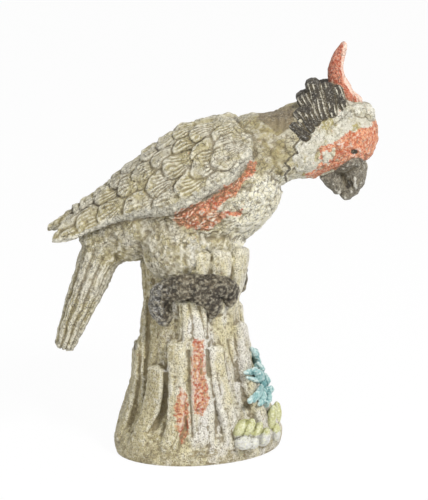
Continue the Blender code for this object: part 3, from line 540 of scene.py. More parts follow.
def makeBird():
    forms = [sweep("body", overStump(body["spine"]), (14, 20)),
             sweep("tail", overStump(body["tail"]), (10, 3), power=2.6)]
    x, side, rise, length, breadth, depth = body["thigh"]
    for hand in (-1, 1):
        forms.append(ball("body", (x, hand * side, stumpTop + rise), (length, breadth, depth)))
    x, rise, *halves = body["belly"]
    forms.append(ball("body", (x, 0, stumpTop + rise), halves))
    for hand in (-1, 1):
        centres, reach, out = wingSections(hand)
        forms.append(loft("wing", centres, reach, out, (7, 5), power=2.3))
    mesh, kind = fuse(forms, body["cell"])
    near = Neighbours(mesh)
    points = pointsOf(mesh)
    wingShare = near.spread((kind == "wing").astype(float), 2)
    points = near.spread(points, 3)
    place(mesh, points)
    tailShare = near.spread((kind == "tail").astype(float), 8)

    spots = seen(points)
    height, rim, fan, shade = carveBody(points)
    height = near.spread(height, 2)
    neck = inPatch(spots, neckBrown, 10)
    breast = fadeIn(points[:, 0], *body["breastFront"]) * fadeIn(points[:, 2], *body["breastTop"])
    push = body["featherDepth"] * (height - 0.5) * (1 - 0.7 * neck)
    push += body["breastWave"] * breast * smoothNoise(points, 10, 54)
    smooth = np.zeros(len(points))
    for hand in (-1, 1):
        mine = np.nonzero((kind == "wing") & (points[:, 1] * hand > 0))[0]
        h, r, f, s, strip = carveWing(points[mine], hand)
        share = wingShare[mine]
        push[mine] = push[mine] * (1 - share) + wing["depth"] * (h - wing["meanLift"]) * share
        rim[mine], fan[mine], shade[mine], smooth[mine] = r, f, s, strip
    wingPush = near.spread(push, 1)
    push = push + (wingPush - push) * wingShare
    worn = np.clip(0.6 + 1.4 * smoothNoise(points, 7, 55), 0, 1)
    barbs = np.cos(fan * 2.1 + 1.4 * smoothNoise(points, 5, 56))
    barbed = np.clip(rim / 2, 0, 1) * (1 - 0.6 * smooth) * (1 - 0.7 * breast) * (1 - neck)
    push += body["barbDepth"] * worn * barbs * barbed
    quills, fine = carveTail(points)
    carved = body["quillDepth"] * (quills - 0.65) + body["fineQuillDepth"] * (fine - 0.6)
    push = push * (1 - tailShare) + tailShare * carved
    rim = np.where(tailShare > 0.5, np.clip(quills * 5, 0, feather["farRim"]), rim)
    fan = np.where(tailShare > 0.5, fine * 2, fan)

    thigh = inPatch(spots, thighOutline, 8) * (kind != "wing")
    streaks = smoothNoise(points * (1, 1, 0.3), 3.2, 51)
    push = push * (1 - thigh) + thigh * (body["thighStreak"] * streaks + 0.35 * push)
    rim = np.where(thigh > 0.5, feather["farRim"], rim)
    push += layeredNoise(points, body["skin"])
    push -= body["breastTrim"] * breast * fadeIn(points[:, 2], *body["breastLow"])
    place(mesh, points + normalsOf(mesh) * push[:, None])
    return mesh, near, {"rim": rim, "fan": fan, "shade": shade, "smooth": smooth, "thigh": thigh,
                        "wing": wingShare, "tail": tailShare}


thighOutline = ((76, 250), (84, 242), (121, 226), (178, 220), (196, 232), (216, 244), (170, 300), (130, 280))


# the head

head = {
    "middle": (117.4, 0.0, stumpTop + 99.8),
    "halves": (30.6, 27.0, 31.3),
    "upperBeak": ((10.5, -16, 10.5, 12), (12.8, -29, 9.8, 11.5), (10.8, -42, 9, 10), (5, -51.5, 5, 5)),
    "lowerBeak": ((-11, -25, 10, 12), (-5, -37, 9, 10.5), (1, -46, 6, 8)),
    "crest": ((11, 25, 8.5, 9), (1, 37, 8.5, 8.5), (-3.5, 47, 7.2, 7.5), (-4, 56, 6.2, 6.5),
              (-1.5, 65, 5.2, 5.5), (2, 73, 3.2, 4)),
    "lobes": (  # root and tip as pixels of the photograph, each with its side in millimetres, then half width
        (341, 115, 15.5, 333, 95, 8, 6.0), (328, 119, 20, 323, 92, 8, 7.4), (319, 122, 22.5, 311, 91, 8, 7.2),
        (313, 128, 24, 302, 104, 11, 7.0), (308, 134, 25.5, 298, 118, 15, 6.6),
        (303, 141, 28, 292, 132, 21, 6.0)),
    "lobeRoot": 0.65,   # its width and thickness at the root, as a share
    "lobeThickness": 13.0,
    "lobeRib": 3.7,
    "brow": ((13, 13, 20, 7), (21, 9, 18, 7), (5, 16, 20, 6)),
    "neck": ((76, 90.2, 29, 29.5), (88, 94.8, 31.2, 29.6), (104, 99.2, 31.6, 28.6), (114, 99.6, 29.6, 26)),
    "skin": ((6.5, 61, 1.1), (3, 67, 0.45), (1.8, 62, 0.3)),
    "relief": (0.16, 0.7),
    "flow": 0.8,        # depth of the wrinkles that run down to the neck
    "flowTop": 112,     # the row of pixels where they begin
    "hoodRise": 0.9,
    "hoodDrop": 3.2,    # how far the neck lies under the hood's edge
    "ribDepth": 0.55,
    "lobeEdge": 0.7,
    "beakStreak": 0.6,
    "cell": 0.66,
}


def overHead(rows):
    x, y, z = head["middle"]
    return [(x + a, y, z + b, *rest) for a, b, *rest in rows]


def makeHead():
    middle = np.array(head["middle"])
    forms = [ball("head", middle, head["halves"]),
             sweep("hood", overStump(head["neck"]), (2, 6)),
             sweep("beak", overHead(head["upperBeak"]), (4, 3)),
             sweep("beak", overHead(head["lowerBeak"]), (4, 3)),
             sweep("crest", overHead(head["crest"]), (5, 4))]
    for hand in (-1, 1):
        mirror = np.array((1, hand, 1))
        for number, (*ends, half) in enumerate(head["lobes"]):
            root, tip, _, side, out = lobeAxes(ends, hand)
            line = curveThrough((root, (root + tip) / 2, tip), 8)
            swell = np.linspace(head["lobeRoot"], 1, 8)[:, None]
            forms.append(loft(f"lobe{number}", line, side * half * swell,
                              out * head["lobeThickness"] / 2 * swell, (3, 5), sides=24))
        for x, y, z, radius in head["brow"]:
            forms.append(ball("brow", middle + np.array((x, y, z)) * mirror, (radius,) * 3))
    mesh, kind = fuse(forms, head["cell"])
    near = Neighbours(mesh)
    points = near.spread(pointsOf(mesh), 4)
    place(mesh, points)
    spots = seen(points)
    push = layeredNoise(points, head["skin"])
    push *= 1 - 0.6 * near.spread((kind == "crest").astype(float), 2)
    flow = points @ np.array(((0.83, 0, 0.2), (0, 1, 0), (-0.55, 0, 0.3)))
    push += head["flow"] * smoothNoise(flow, 3.6, 68) * (spots[:, 1] > head["flowTop"])
    skin = np.isin(kind, ("head", "hood"))
    hood = near.spread(inPatch(spots, hoodOutline, 2.5), 2)
    push += near.spread(skin * (head["hoodRise"] * hood - head["hoodDrop"] * (1 - hood)), 1)
    for path, half, depth in headGrooves:
        push -= depth * groove(spots, path, half)
    for px, py, rx, ry, rise in headLumps:
        q = np.hypot((spots[:, 0] - px) / rx, (spots[:, 1] - py) / ry)
        push += rise * np.exp(-1.4 * q**2)
    lobe = near.spread(np.char.startswith(kind, "lobe").astype(float), 2)
    ribs, edges = lobeRidges(points, kind)
    push = push * (1 - 0.75 * lobe) + lobe * (head["ribDepth"] * ribs - head["lobeEdge"] * edges)
    beak = near.spread(inPatch(spots, beakOutline, 2) * ~np.isin(kind, ("crest", "brow")), 2)
    streaks = smoothNoise(points * (1, 1, 0.35), 2.6, 65)
    push = push * (1 - 0.4 * beak) + head["beakStreak"] * beak * streaks
    place(mesh, points + normalsOf(mesh) * push[:, None])
    return mesh, near, kind, {"lobe": lobe, "beak": beak, "ribs": ribs}


def fromPhoto(px, py, side):
    # the point of the part that a pixel shows, where its place along Y is known
    up = (originPixel[1] - py) * pixel
    return np.array(((px - originPixel[0]) * pixel, side,
                     (up - side * math.sin(viewTilt)) / math.cos(viewTilt)))


def lobeAxes(ends, hand):
    rx, ry, rootSide, tx, ty, tipSide = ends
    mirror = np.array((1, -hand, 1))
    root = fromPhoto(rx, ry, -rootSide) * mirror
    tip = fromPhoto(tx, ty, -tipSide) * mirror
    heading = unit(tip - root)
    out = unit(np.cross(heading, np.cross((0, hand, 0), heading)))
    return root, tip, heading, np.cross(heading, out), out


# Creases seen on the head: path in pixels, half width in pixels, depth in millimetres
headGrooves = (
    (((345, 116), (340, 121), (333, 126), (327, 132), (320, 141)), 5.0, 2.0),
    (((317, 177), (326, 174), (335, 170), (341, 165), (347, 161), (352, 159)), 3.0, 1.3),
    (((362, 158), (363, 164), (366, 161), (370, 157)), 3.0, 1.3),
    (((354, 158), (358, 164), (360, 171)), 2.6, 1.3),
    (((341, 176), (343, 182), (347, 189)), 2.6, 1.6),
    (((346, 181), (349, 186), (351, 189)), 3.6, 3.6),
    (((350, 154.5), (352, 155)), 4.2, 3.4),
    (((320, 143), (315, 150), (313, 158)), 4.5, 0.9),
    (((307, 139), (301, 144), (298, 150)), 3.4, 0.9),
    (((350, 106), (352, 99), (350, 90)), 2.4, 1.3),
    (((356.5, 107), (356, 101), (352, 94)), 2.2, 1.2),
)
# Lumps on the head: middle and half sizes in pixels, height in millimetres
headLumps = (
    (352, 113.5, 8, 7, 1.1), (365.5, 112, 7.5, 8, 0.9), (358, 123, 7, 5.5, 0.7), (345, 119, 4, 4, 0.8),
    (324, 127, 6.5, 6, 1.4), (331, 119, 5, 5, 1.0), (312, 141, 6, 5, 0.9), (303, 150, 6, 7, 1.0),
    (300, 162, 5, 5, 1.2), (323.5, 160, 5, 6, 1.2), (333, 147, 7, 5, 0.8), (307, 168, 6, 6, 0.6),
    (373, 120, 4, 5, 0.8), (315, 131, 5, 4, 0.9),
)


def lobeRidges(points, kind):
    # ribs run down the length of each dark lobe
    ribs = np.zeros(len(points))
    edges = np.zeros(len(points))
    sway = 0.6 * smoothNoise(points, 7, 63)
    for number, (*ends, half) in enumerate(head["lobes"]):
        for hand in (-1, 1):
            root, tip, heading, side, _ = lobeAxes(ends, hand)
            mine = (kind == f"lobe{number}") & (points[:, 1] * hand >= 0)
            across = (points - root) @ side
            beyond = (points - tip) @ heading
            fade = np.clip(1 - (beyond - 1) / 3, 0, 1)
            ribs = np.where(mine, fade * np.cos((across + sway) * 2 * math.pi / head["lobeRib"]), ribs)
            edges = np.where(mine, fade * np.clip((np.abs(across) / half - 0.72) / 0.25, 0, 1), edges)
    worn = np.clip(0.75 + 1.2 * smoothNoise(points, 6, 66), 0, 1)
    return ribs * worn * (1 - edges), edges


# The hood of pale feathers over the neck, and the beak, as they are seen
hoodEdge = ((300, 141), (295, 145), (291, 150), (295, 156), (288, 160), (283, 166), (288, 171), (283, 177),
            (286, 184), (284, 192))
hoodOutline = (*hoodEdge, (284, 210), (420, 210), (420, 30), (299, 30), (299, 112), (290, 136), (293, 142))
beakOutline = ((317, 178), (325, 174.5), (334, 171), (340, 166), (346, 162), (352, 159.5), (358, 160),
               (364, 164), (368, 159), (374, 158), (376, 176), (370, 192), (356, 206), (338, 206),
               (326, 196), (317, 184))


# the stump

stump = {
    "line": (  # height, half length, half breadth, middle X
        (-4, 70.5, 52, 0), (8, 73, 55, 0), (20, 69.8, 53, 0), (36, 57.4, 49, -0.4), (62, 47.5, 45, -3.2),
        (88, 44.8, 42, -4.8), (106, 40.8, 40, -5), (128, 38.7, 38, -4.2), (152, 40.4, 38, -3.4),
        (170, 42.8, 39, -2)),
    "turn": 20.0,
    "turnFade": 70.0,
    "planks": (  # angle at foot and head, half width, foot and head height, how far proud
        (-163, -163, 7, 14, 94, 7.0), (-147, -168, 4, 40, 162, 4.5), (-134, -128, 9.5, 14, 78, 6.5),
        (-107, -106, 7.8, 14, 102, 8.0), (-84, -90, 11.5, 20, 136, 5.5),
        (-61, -65, 7.6, 14, 97, 6.5), (-29, -22, 8, 16, 110, 7.0),
        (-3, -6, 7.5, 14, 92, 5.0), (18, 16, 7, 14, 122, 4.0), (38, 37, 8, 14, 92, 6.0),
        (60, 58, 8.5, 14, 108, 4.5), (83, 84, 8, 14, 82, 6.5), (105, 103, 7.5, 14, 116, 4.5),
        (128, 126, 8.5, 14, 90, 6.0), (150, 150, 7.5, 14, 104, 4.5), (173, 174, 7, 14, 84, 6.0)),
    "rim": (  # angle, half width, lowest and highest point, how far proud
        (-82, 6, 128, 176, 3.5), (-59, 8.5, 126, 176, 4.0), (-34, 5.5, 124, 175, 4.5),
        (-13, 7, 136, 172, 3.0), (9, 6, 128, 170, 2.0),
        (31, 6, 134, 176, 3.0), (54, 6, 128, 173, 4.5), (78, 6, 130, 175, 3.0), (104, 6, 126, 172, 4.0),
        (130, 6, 130, 170, 3.0), (156, 6, 128, 168, 4.0), (-178, 6, 126, 168, 3.0), (-154, 5, 130, 168, 3.0)),
    "thickness": 11.0,
    "knob": 5.0,
    "grooveFoot": (6, 14),      # no grooves below this height, and over how far they come in
    "grooveDepth": 0.6,
    "fineGrooveDepth": 0.35,
    "lumpDepth": 0.8,
    "roughDepth": 0.5,
    "relief": (0.14, 0.6),
    "cell": 1.0,
}


def stumpSection(height):
    line = np.asarray(stump["line"], float)
    halfLength, halfBreadth, middle = (np.interp(height, line[:, 0], line[:, i]) for i in (1, 2, 3))
    turn = math.radians(stump["turn"]) * np.clip(1 - height / stump["turnFade"], 0, 1)
    return halfLength, halfBreadth, middle, turn


def onStump(angle, height, proud=0.0):
    # a point on the stump's side, and the outward direction there
    halfLength, halfBreadth, middle, turn = stumpSection(height)
    bearing = math.radians(angle) - turn
    x, y = halfLength * math.cos(bearing), halfBreadth * math.sin(bearing)
    out = unit(np.array((x / halfLength**2, y / halfBreadth**2, 0)))
    spin = np.array(((math.cos(turn), -math.sin(turn), 0), (math.sin(turn), math.cos(turn), 0), (0, 0, 1)))
    out = spin @ out
    return spin @ np.array((x, y, 0)) + (middle, 0, height) + out * proud, out


def makePlank(name, footAngle, headAngle, half, low, high, proud):
    rows = []
    for share in (0, 0.25, 0.5, 0.75, 1):
        stand = proud * min(1, 0.3 + share / 0.35)
        angle = footAngle + (headAngle - footAngle) * share
        point, out = onStump(angle, low + (high - low) * share, stand - stump["thickness"] / 2)
        rows.append((*point, *out))
    line = curveThrough(rows, 16)
    out = unit(line[:, 3:6])
    tangent = np.cross((0, 0, 1), out)
    return loft(name, line[:, :3], tangent * half, out * stump["thickness"] / 2, (4, 3), power=3.5, sides=24)


def makeTrunk():
    rows = []
    for height, *_ in stump["line"]:
        halfLength, halfBreadth, middle, turn = stumpSection(height)
        rows.append((middle, 0, height, halfLength, halfBreadth, turn))
    line = curveThrough(rows, ringCount)
    turn, level = line[:, 5], np.zeros(len(line))
    first = np.stack((np.cos(turn), np.sin(turn), level), axis=1) * line[:, 3:4]
    second = np.stack((-np.sin(turn), np.cos(turn), level), axis=1) * line[:, 4:5]
    return loft("trunk", line[:, :3], first, second)


def flatUnderside(mesh):
    bm = bmesh.new()
    bm.from_mesh(mesh)
    every = bm.verts[:] + bm.edges[:] + bm.faces[:]
    bmesh.ops.bisect_plane(bm, geom=every, plane_co=(0, 0, 0), plane_no=(0, 0, 1), clear_inner=True)
    bmesh.ops.contextual_create(bm, geom=[edge for edge in bm.edges if edge.is_boundary])
    bm.to_mesh(mesh)
    bm.free()


def makeStump():
    forms = [makeTrunk()] + [makePlank("plank", *row) for row in stump["planks"]]
    for angle, half, low, high, proud in stump["rim"]:
        forms.append(makePlank("plank", angle, angle, half, low, high, proud))
    angle, _, _, _, high, _ = stump["planks"][0]
    knob, _ = onStump(angle, high + stump["knob"] / 2)
    forms.append(ball("knob", knob, (stump["knob"],) * 3))
    mesh, _ = fuse(forms, stump["cell"])
    flatUnderside(mesh)
    near = Neighbours(mesh)
    points = pointsOf(mesh)
    level = points[:, 2] < 0.5
    eased = near.spread(points, 2)
    eased[level] = points[level]
    points = eased
    place(mesh, points)
    fade = fadeIn(points[:, 2], *stump["grooveFoot"])
    grooves = smoothNoise(points * (1, 1, 0.1), 5.5, 71)
    fine = smoothNoise(points * (1, 1, 0.16), 2.6, 72)
    push = (stump["grooveDepth"] * grooves + stump["fineGrooveDepth"] * fine) * fade
    push += stump["lumpDepth"] * smoothNoise(points, 12, 73)
    push += stump["roughDepth"] * smoothNoise(points, 2.8, 74) * (0.5 + 0.5 * fade)
    spots = seen(points)
    front = points[:, 1] < 0
    for path, half, depth in stumpGrooves:
        push -= depth * groove(spots, path, half) * front
    push[level] = 0
    moved = points + normalsOf(mesh) * push[:, None]
    moved[level, 2] = points[level, 2]
    place(mesh, moved)
    return mesh, near


# Cracks seen on the front of the stump: path in pixels, half width in pixels, depth in millimetres
stumpGrooves = (
    (((189, 350), (189.5, 380), (190, 400), (191, 420), (192, 434)), 4.0, 3.0),
    (((166.5, 372), (165.5, 395), (163, 410), (156, 424), (148, 432)), 5.0, 2.2),
    (((208, 349), (208, 362), (209, 374)), 3.6, 2.2),
    (((229, 340), (231, 352), (235, 366), (237, 380)), 4.2, 2.2),
    (((147, 300), (148, 330), (147, 352), (145, 372)), 4.5, 1.6),
    (((138, 352), (139, 380), (134, 405), (128, 430)), 4.5, 1.3),
    (((181, 306), (183, 322), (182, 338)), 3.6, 1.3),
    (((190, 304), (193, 322), (193, 336)), 3.2, 1.1),
    (((199, 306), (203, 320), (206, 336)), 3.4, 1.2),
    (((218, 372), (221, 392), (228, 414), (234, 438)), 6.0, 1.3),
    (((179, 430), (175, 440), (170, 448)), 5.0, 1.2),
    (((208, 425), (210, 440), (209, 450)), 5.5, 1.2),
    (((249, 384), (249.5, 388)), 3.4, 3.5),
)


# feet, fern and curled leaves

feet = {
    "toes": (  # angle round the stump, height under its top, half size
        ((-97, -20, 11), (-113, -22, 10), (-125, -28, 9.5), (-129, -38, 9.5), (-124, -48, 7)),
        ((-97, -20, 11), (-76, -20, 10.5), (-58, -21, 9.5), (-47, -26, 8), (-45, -34, 6.5)),
        ((-88, -22, 10), (-76, -28, 9.5), (-68, -35, 8.5), (-68, -42, 6))),
    "farTurn": 19.0,    # degrees that the far foot is turned round the stump
    "stand": 0.45,      # how far a toe stands off the stump, as a share of its half size
    "skin": ((3.8, 81, 1.3), (2.1, 82, 0.7)),
    "cell": 0.7,
}
fern = {
    "stem": ((254, 352), (257, 366), (262, 382), (264, 396), (265, 406)),   # pixels
    "leaflets": (  # root and tip in pixels, half width in pixels, and how far the tip stands off
        (256, 363, 252, 349, 3.6, 2.5), (261, 378, 258.5, 364, 3.2, 4.5), (262, 384, 254, 369, 5.0, 5.0),
        (257, 370, 245, 372, 3.6, 3.0), (260, 383, 247, 377, 2.4, 1.5), (265, 389, 266.5, 377, 3.6, 6.0),
        (262, 388, 249, 400, 5.2, 5.0), (264, 392, 273, 391, 4.8, 7.0), (264, 393, 259.5, 404, 4.8, 4.0),
        (266, 393, 268, 403, 4.4, 6.0)),
    "stemRadius": 4.0,
    "stand": 6.0,       # how far its stem stands off the trunk, over the planks
    "thickness": 2.4,
    "swell": (0.6, 2.55),   # a leaflet's width is a sine from one angle to the other
    "bow": 2.5,             # how far a leaflet bows outwards at its middle
    "facing": 0.9,          # how far its flat side is turned to the front
    "skin": ((2.8, 91, 0.7), (1.3, 92, 0.3)),
    "cell": 0.5,
}
curls = {
    "lobes": (  # middle and half sizes in pixels, lean in degrees, how far off the stump
        (245, 431, 12.0, 13.0, 0, 1), (262, 438, 9, 9, 20, 0),
        (239.5, 427, 5.4, 9.5, 30, 6), (248, 426.5, 5.4, 10.5, 32, 7), (256.5, 430, 4.8, 10, 30, 6),
        (264, 436.5, 5, 9.5, 26, 3), (243.5, 441, 9.5, 7.5, 0, 4), (252.5, 441, 6.5, 7, 0, 5),
        (271.8, 419.5, 5.2, 13.5, 10, 4), (278, 417.5, 5, 13, 0, 2), (276.5, 434, 5.4, 9.5, -4, 1)),
    "thickness": 7.5,
    "skin": ((2.6, 95, 0.3), (1.2, 96, 0.2)),
    "cell": 0.55,
}


def makeFeet():
    # the far foot is the near one mirrored and turned round the stump
    forms = []
    for hand in (-1, 1):
        for toe in feet["toes"]:
            rows = []
            for angle, drop, half in toe:
                bearing = angle if hand < 0 else -angle - feet["farTurn"]
                point, _ = onStump(bearing, stumpTop + drop, half * feet["stand"])
                rows.append((*point, half))
            for x, y, z, half in curveThrough(rows, 20):
                forms.append(ball("toe", (x, y, z), (half, half * 0.9, half)))
    return roughSkin(fuseAll(forms, feet["cell"]), 3, feet["skin"])


def onFront(px, py, proud=0.0):
    # the point that a pixel shows on the front of the stump, and the outward direction there
    x = (px - originPixel[0]) * pixel
    rise = (originPixel[1] - py) * pixel
    y, aim = -40.0, x
    for _ in range(8):
        height = (rise - y * math.sin(viewTilt)) / math.cos(viewTilt)
        halfLength, halfBreadth, middle, turn = stumpSection(height)
        along, aside = halfLength * math.cos(turn), halfBreadth * math.sin(turn)
        reach = np.clip((aim - middle) / math.hypot(along, aside), -1, 1)
        bearing = -math.acos(reach) - math.atan2(aside, along)
        point, out = onStump(math.degrees(bearing + turn), height, proud)
        y = point[1]
        aim += x - point[0]
    return fromPhoto(px, py, y), out


def makeFern():
    stand = fern["stand"]
    stem = [(*onFront(px, py, stand)[0], fern["stemRadius"], fern["stemRadius"]) for px, py in fern["stem"]]
    forms = [sweep("stem", stem, (2, 2), count=12)]
    for rootX, rootY, tipX, tipY, half, lift in fern["leaflets"]:
        root, _ = onFront(rootX, rootY, stand + 1)
        tip, out = onFront(tipX, tipY, stand + lift)
        line = curveThrough((root, (root + tip) / 2 + out * fern["bow"], tip), 10)
        heading = unit(tip - root)
        side = unit(np.cross(heading, out - np.array((0, fern["facing"], 0))))
        out = np.cross(side, heading)
        swell = np.sin(np.linspace(*fern["swell"], 10))[:, None]
        forms.append(loft("leaflet", line, side * half * pixel * swell, out * fern["thickness"] * swell,
                          (1.5, 2.5), sides=16))
    return roughSkin(fuseAll(forms, fern["cell"]), 2, fern["skin"])


def makeCurls():
    forms = []
    for px, py, halfX, halfY, lean, stand in curls["lobes"]:
        centre, _ = onFront(px, py, stand)
        forms.append(ball("lobe", centre, (halfX * pixel, curls["thickness"], halfY * pixel), lean))
    return roughSkin(fuseAll(forms, curls["cell"]), 3, curls["skin"])


# paint: which colour goes where. Outlines are in pixels of the photograph

breastRed = ((175, 215), (194, 206), (208, 201), (220, 192), (232, 185), (240, 180), (250, 164), (255, 166),
             (253, 178), (241, 186), (236, 196), (244, 206), (239, 217), (227, 217), (216, 226), (210, 231),
             (198, 229), (183, 227), (174, 221))
breastGap = ((224, 203), (236, 197), (243, 204), (238, 213), (228, 212), (215, 214))
faceRed = ((303, 177), (314, 171), (318, 163), (315, 156), (317, 150), (326, 148), (336, 143), (345, 134),
           (350, 136), (354, 133), (366, 130), (371, 123), (382, 122), (384, 140), (380, 153), (372, 160),
           (364, 166), (356, 165), (348, 169), (338, 174), (330, 178), (318, 181))
faceSpot = ((319, 155), (325, 153), (329, 160), (325, 167), (319, 165))
napeDark = ((282, 134), (286, 128), (293, 118), (296, 108), (314, 118), (311, 129), (305, 137), (303, 143),
            (296, 143), (294, 152), (289, 149), (288, 141), (283, 140))
neckBrown = ((258, 112), (292, 108), (292, 124), (285, 135), (276, 139), (266, 130), (256, 122))
neckOlive = ((246, 122), (262, 124), (284, 134), (288, 160), (280, 182), (262, 172), (250, 150))
stumpRedA = ((181, 384), (187, 392), (189, 400), (190, 425), (185, 440), (181, 441), (177, 425), (175, 405))
stumpRedB = ((193, 336), (204, 338), (206, 370), (209, 396), (205, 411), (196, 414), (193, 400), (191, 370))
# A pale band along the crest's ridge: pale paint with a painted sheen
crestRidge = ((359, 103), (350, 95), (343, 85), (340, 72), (341, 59), (343, 49))
thighPale = ((176, 236), (196, 232), (215, 240), (214, 262), (196, 272), (183, 268))
# Dabs of paint: middle and half sizes in pixels, and where they fade out, as a share of these
eyeDab = (350.5, 154.5, 3.4, 2.2, 1.5)
# painted shade in the gap of the mouth
mouthShadeDab = (347, 185, 4.0, 4.2, 1.5)
templeDab = (324, 127, 6, 6, 1.4)
knobDab = (134, 346, 4.5, 6, 1.4)
# Where paint ends, in pixels. A pair is where it begins and the stretch over which it comes in
paintLimits = {
    "wingRed": 160,             # the wing is red only below this row
    # painted shade along the hood's edge, where it overhangs the neck
    "hoodEdgeShade": 296,            # the hood's edge is dark only left of this
    "headOlive": 112,           # the head is stained olive only below this row
    "lobeDark": (138, -24),     # the lobes darken down to this row
    "footGrey": (176, -22),     # the foot is grey left of this
    "curlWhite": (430, 8),      # the curled leaves are white below this row
}
# The same in millimetres, along X or up Z
paintStretches = {
    "forward": (8, 50),
    "low": (250, -30),
    # painted shade: the stump's left side, away from the key lamp
    "stumpShadedSide": (8, -60),
    "stumpFoot": (30, -18),
}


def dab(spots, px, py, halfX, halfY, reach):
    return np.clip(reach - np.hypot((spots[:, 0] - px) / halfX, (spots[:, 1] - py) / halfY), 0, 1)


def curvature(near, points, normals, passes):
    # positive in a crevice and negative on a ridge, in millimetres
    return np.einsum("ij,ij->i", near.spread(points, passes) - points, normals)


def reliefMarks(mesh, near, sizes):
    fineSize, broadSize = sizes
    points, normals = pointsOf(mesh), normalsOf(mesh)
    fine = curvature(near, points, normals, 2)
    broad = curvature(near, points, normals, 14)
    # hollows get the brown wash with painted shade, ridges the pale rub with painted highlight
    cavity = np.clip(fine / fineSize, 0, 1) * 0.5 + np.clip(broad / broadSize, 0, 1) * 0.7
    ridge = np.clip(-fine / fineSize, 0, 1) * 0.5 + np.clip(-broad / broadSize, 0, 1) * 0.5
    return {"cavity": np.clip(cavity, 0, 1), "ridge": np.clip(ridge, 0, 1)}


def finishPiece(name, mesh, marks, material):
    for key, values in marks.items():
        attribute = mesh.attributes.new(key, "FLOAT", "POINT")
        attribute.data.foreach_set("value", np.asarray(values, np.float32))
    place(mesh, pointsOf(mesh) * mm)
    mesh.name = name
    mesh.materials.clear()
    mesh.materials.append(material)
    mesh.shade_smooth()
    piece = addThing(name, mesh)
    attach(piece, "root")
    triangles = sum(len(face.vertices) - 2 for face in mesh.polygons)
    print(name, "made,", triangles, "triangles")
    return piece


# shared effects, each a node group with named inputs and outputs

def srgb(red, green, blue):
    values = []
    for value in (red, green, blue):
        v = value / 255
        values.append(v / 12.92 if v <= 0.04045 else ((v + 0.055) / 1.055) ** 2.4)
    return (*values, 1)


class Nodes:
    # a short way to add nodes to a material or a group and to join them
    def __init__(self, tree):
        self.tree = tree

    def add(self, kind, **settings):
        node = self.tree.nodes.new(kind)
        for key, value in settings.items():
            setattr(node, key, value)
        return node

    def feed(self, socket, value):
        if isinstance(value, bpy.types.NodeSocket):
            self.tree.links.new(value, socket)
        else:
            socket.default_value = value

    def sum(self, operation, a, b=0.0, c=0.0):
        node = self.add("ShaderNodeMath", operation=operation)
        for socket, value in zip(node.inputs, (a, b, c)):
            self.feed(socket, value)
        return node.outputs[0]

    def times(self, a, b):
        return self.sum("MULTIPLY", a, b)

    def range(self, value, low, high, outLow=0.0, outHigh=1.0, smooth=True):
        node = self.add("ShaderNodeMapRange", interpolation_type="SMOOTHSTEP" if smooth else "LINEAR")
        for socket, item in zip(node.inputs, (value, low, high, outLow, outHigh)):
            self.feed(socket, item)
        return node.outputs[0]

    def mix(self, share, a, b):
        node = self.add("ShaderNodeMix", data_type="RGBA")
        self.feed(node.inputs[0], share)
        self.feed(node.inputs[6], a)
        self.feed(node.inputs[7], b)
        return node.outputs[2]

    def noise(self, vector, scale, detail=3.0, roughness=0.55):
        node = self.add("ShaderNodeTexNoise")
        self.feed(node.inputs["Vector"], vector)
        self.feed(node.inputs["Scale"], scale)
        self.feed(node.inputs["Detail"], detail)
        self.feed(node.inputs["Roughness"], roughness)
        return node

    def attribute(self, name):
        return self.add("ShaderNodeAttribute", attribute_name=name).outputs["Fac"]

    def group(self, group, **values):
        node = self.add("ShaderNodeGroup", node_tree=group)
        for key, value in values.items():
            self.feed(node.inputs[key], value)
        return node


def newMaterial(name):
    material = bpy.data.materials.new(name)
    material.use_nodes = True
    return material, Nodes(material.node_tree), material.node_tree.nodes["Principled BSDF"]


numbers, vectors, colours = "NodeSocketFloat", "NodeSocketVector", "NodeSocketColor"


def newGroup(name, inputs, outputs):
    # an input is given as the kind of its socket, or as the default of a number
    tree = bpy.data.node_groups.new(name, "ShaderNodeTree")
    for title, given in inputs.items():
        kind = given if isinstance(given, str) else numbers
        socket = tree.interface.new_socket(title, in_out="INPUT", socket_type=kind)
        if kind == numbers:
            socket.default_value = given
    for title, kind in outputs.items():
        tree.interface.new_socket(title, in_out="OUTPUT", socket_type=kind)
    nodes = Nodes(tree)
    entry = nodes.add("NodeGroupInput")
    leave = nodes.add("NodeGroupOutput")
    return nodes, entry.outputs, leave.inputs


def makePatchyPaint():
    nodes, given, result = newGroup(
        "patchyPaint", {"Vector": vectors, "Mask": 0.0, "Scale": 300.0, "Raggedness": 0.5}, {"Mask": numbers})
    noise = nodes.noise(given["Vector"], given["Scale"], 4.0, 0.65).outputs[0]
    wander = nodes.times(nodes.sum("SUBTRACT", noise, 0.5), given["Raggedness"])
    level = nodes.sum("MULTIPLY_ADD", wander, 3.0, given["Mask"])
    nodes.feed(result["Mask"], nodes.range(level, 0.34, 0.66))
    return nodes.tree


def makeCrackle():
    nodes, given, result = newGroup(
        "crackle", {"Vector": vectors, "Scale": 300.0, "Width": 0.06, "Amount": 0.5}, {"Mask": numbers})
    sway = nodes.noise(given["Vector"], nodes.times(given["Scale"], 0.8), 2.0)
    bend = nodes.add("ShaderNodeVectorMath", operation="MULTIPLY_ADD")
    nodes.feed(bend.inputs[0], sway.outputs["Color"])
    nodes.feed(bend.inputs[1], (0.004, 0.004, 0.004))
    nodes.feed(bend.inputs[2], given["Vector"])
    cells = nodes.add("ShaderNodeTexVoronoi", feature="DISTANCE_TO_EDGE")
    nodes.feed(cells.inputs["Vector"], bend.outputs[0])
    nodes.feed(cells.inputs["Scale"], given["Scale"])
    line = nodes.range(cells.outputs["Distance"], 0.0, given["Width"], 1.0, 0.0)
    where = nodes.noise(given["Vector"], nodes.times(given["Scale"], 0.22), 2.0).outputs[0]
    start = nodes.sum("MULTIPLY_ADD", given["Amount"], -0.5, 0.72)
    part = nodes.range(where, start, nodes.sum("ADD", start, 0.1))
    nodes.feed(result["Mask"], nodes.times(line, part))
    return nodes.tree


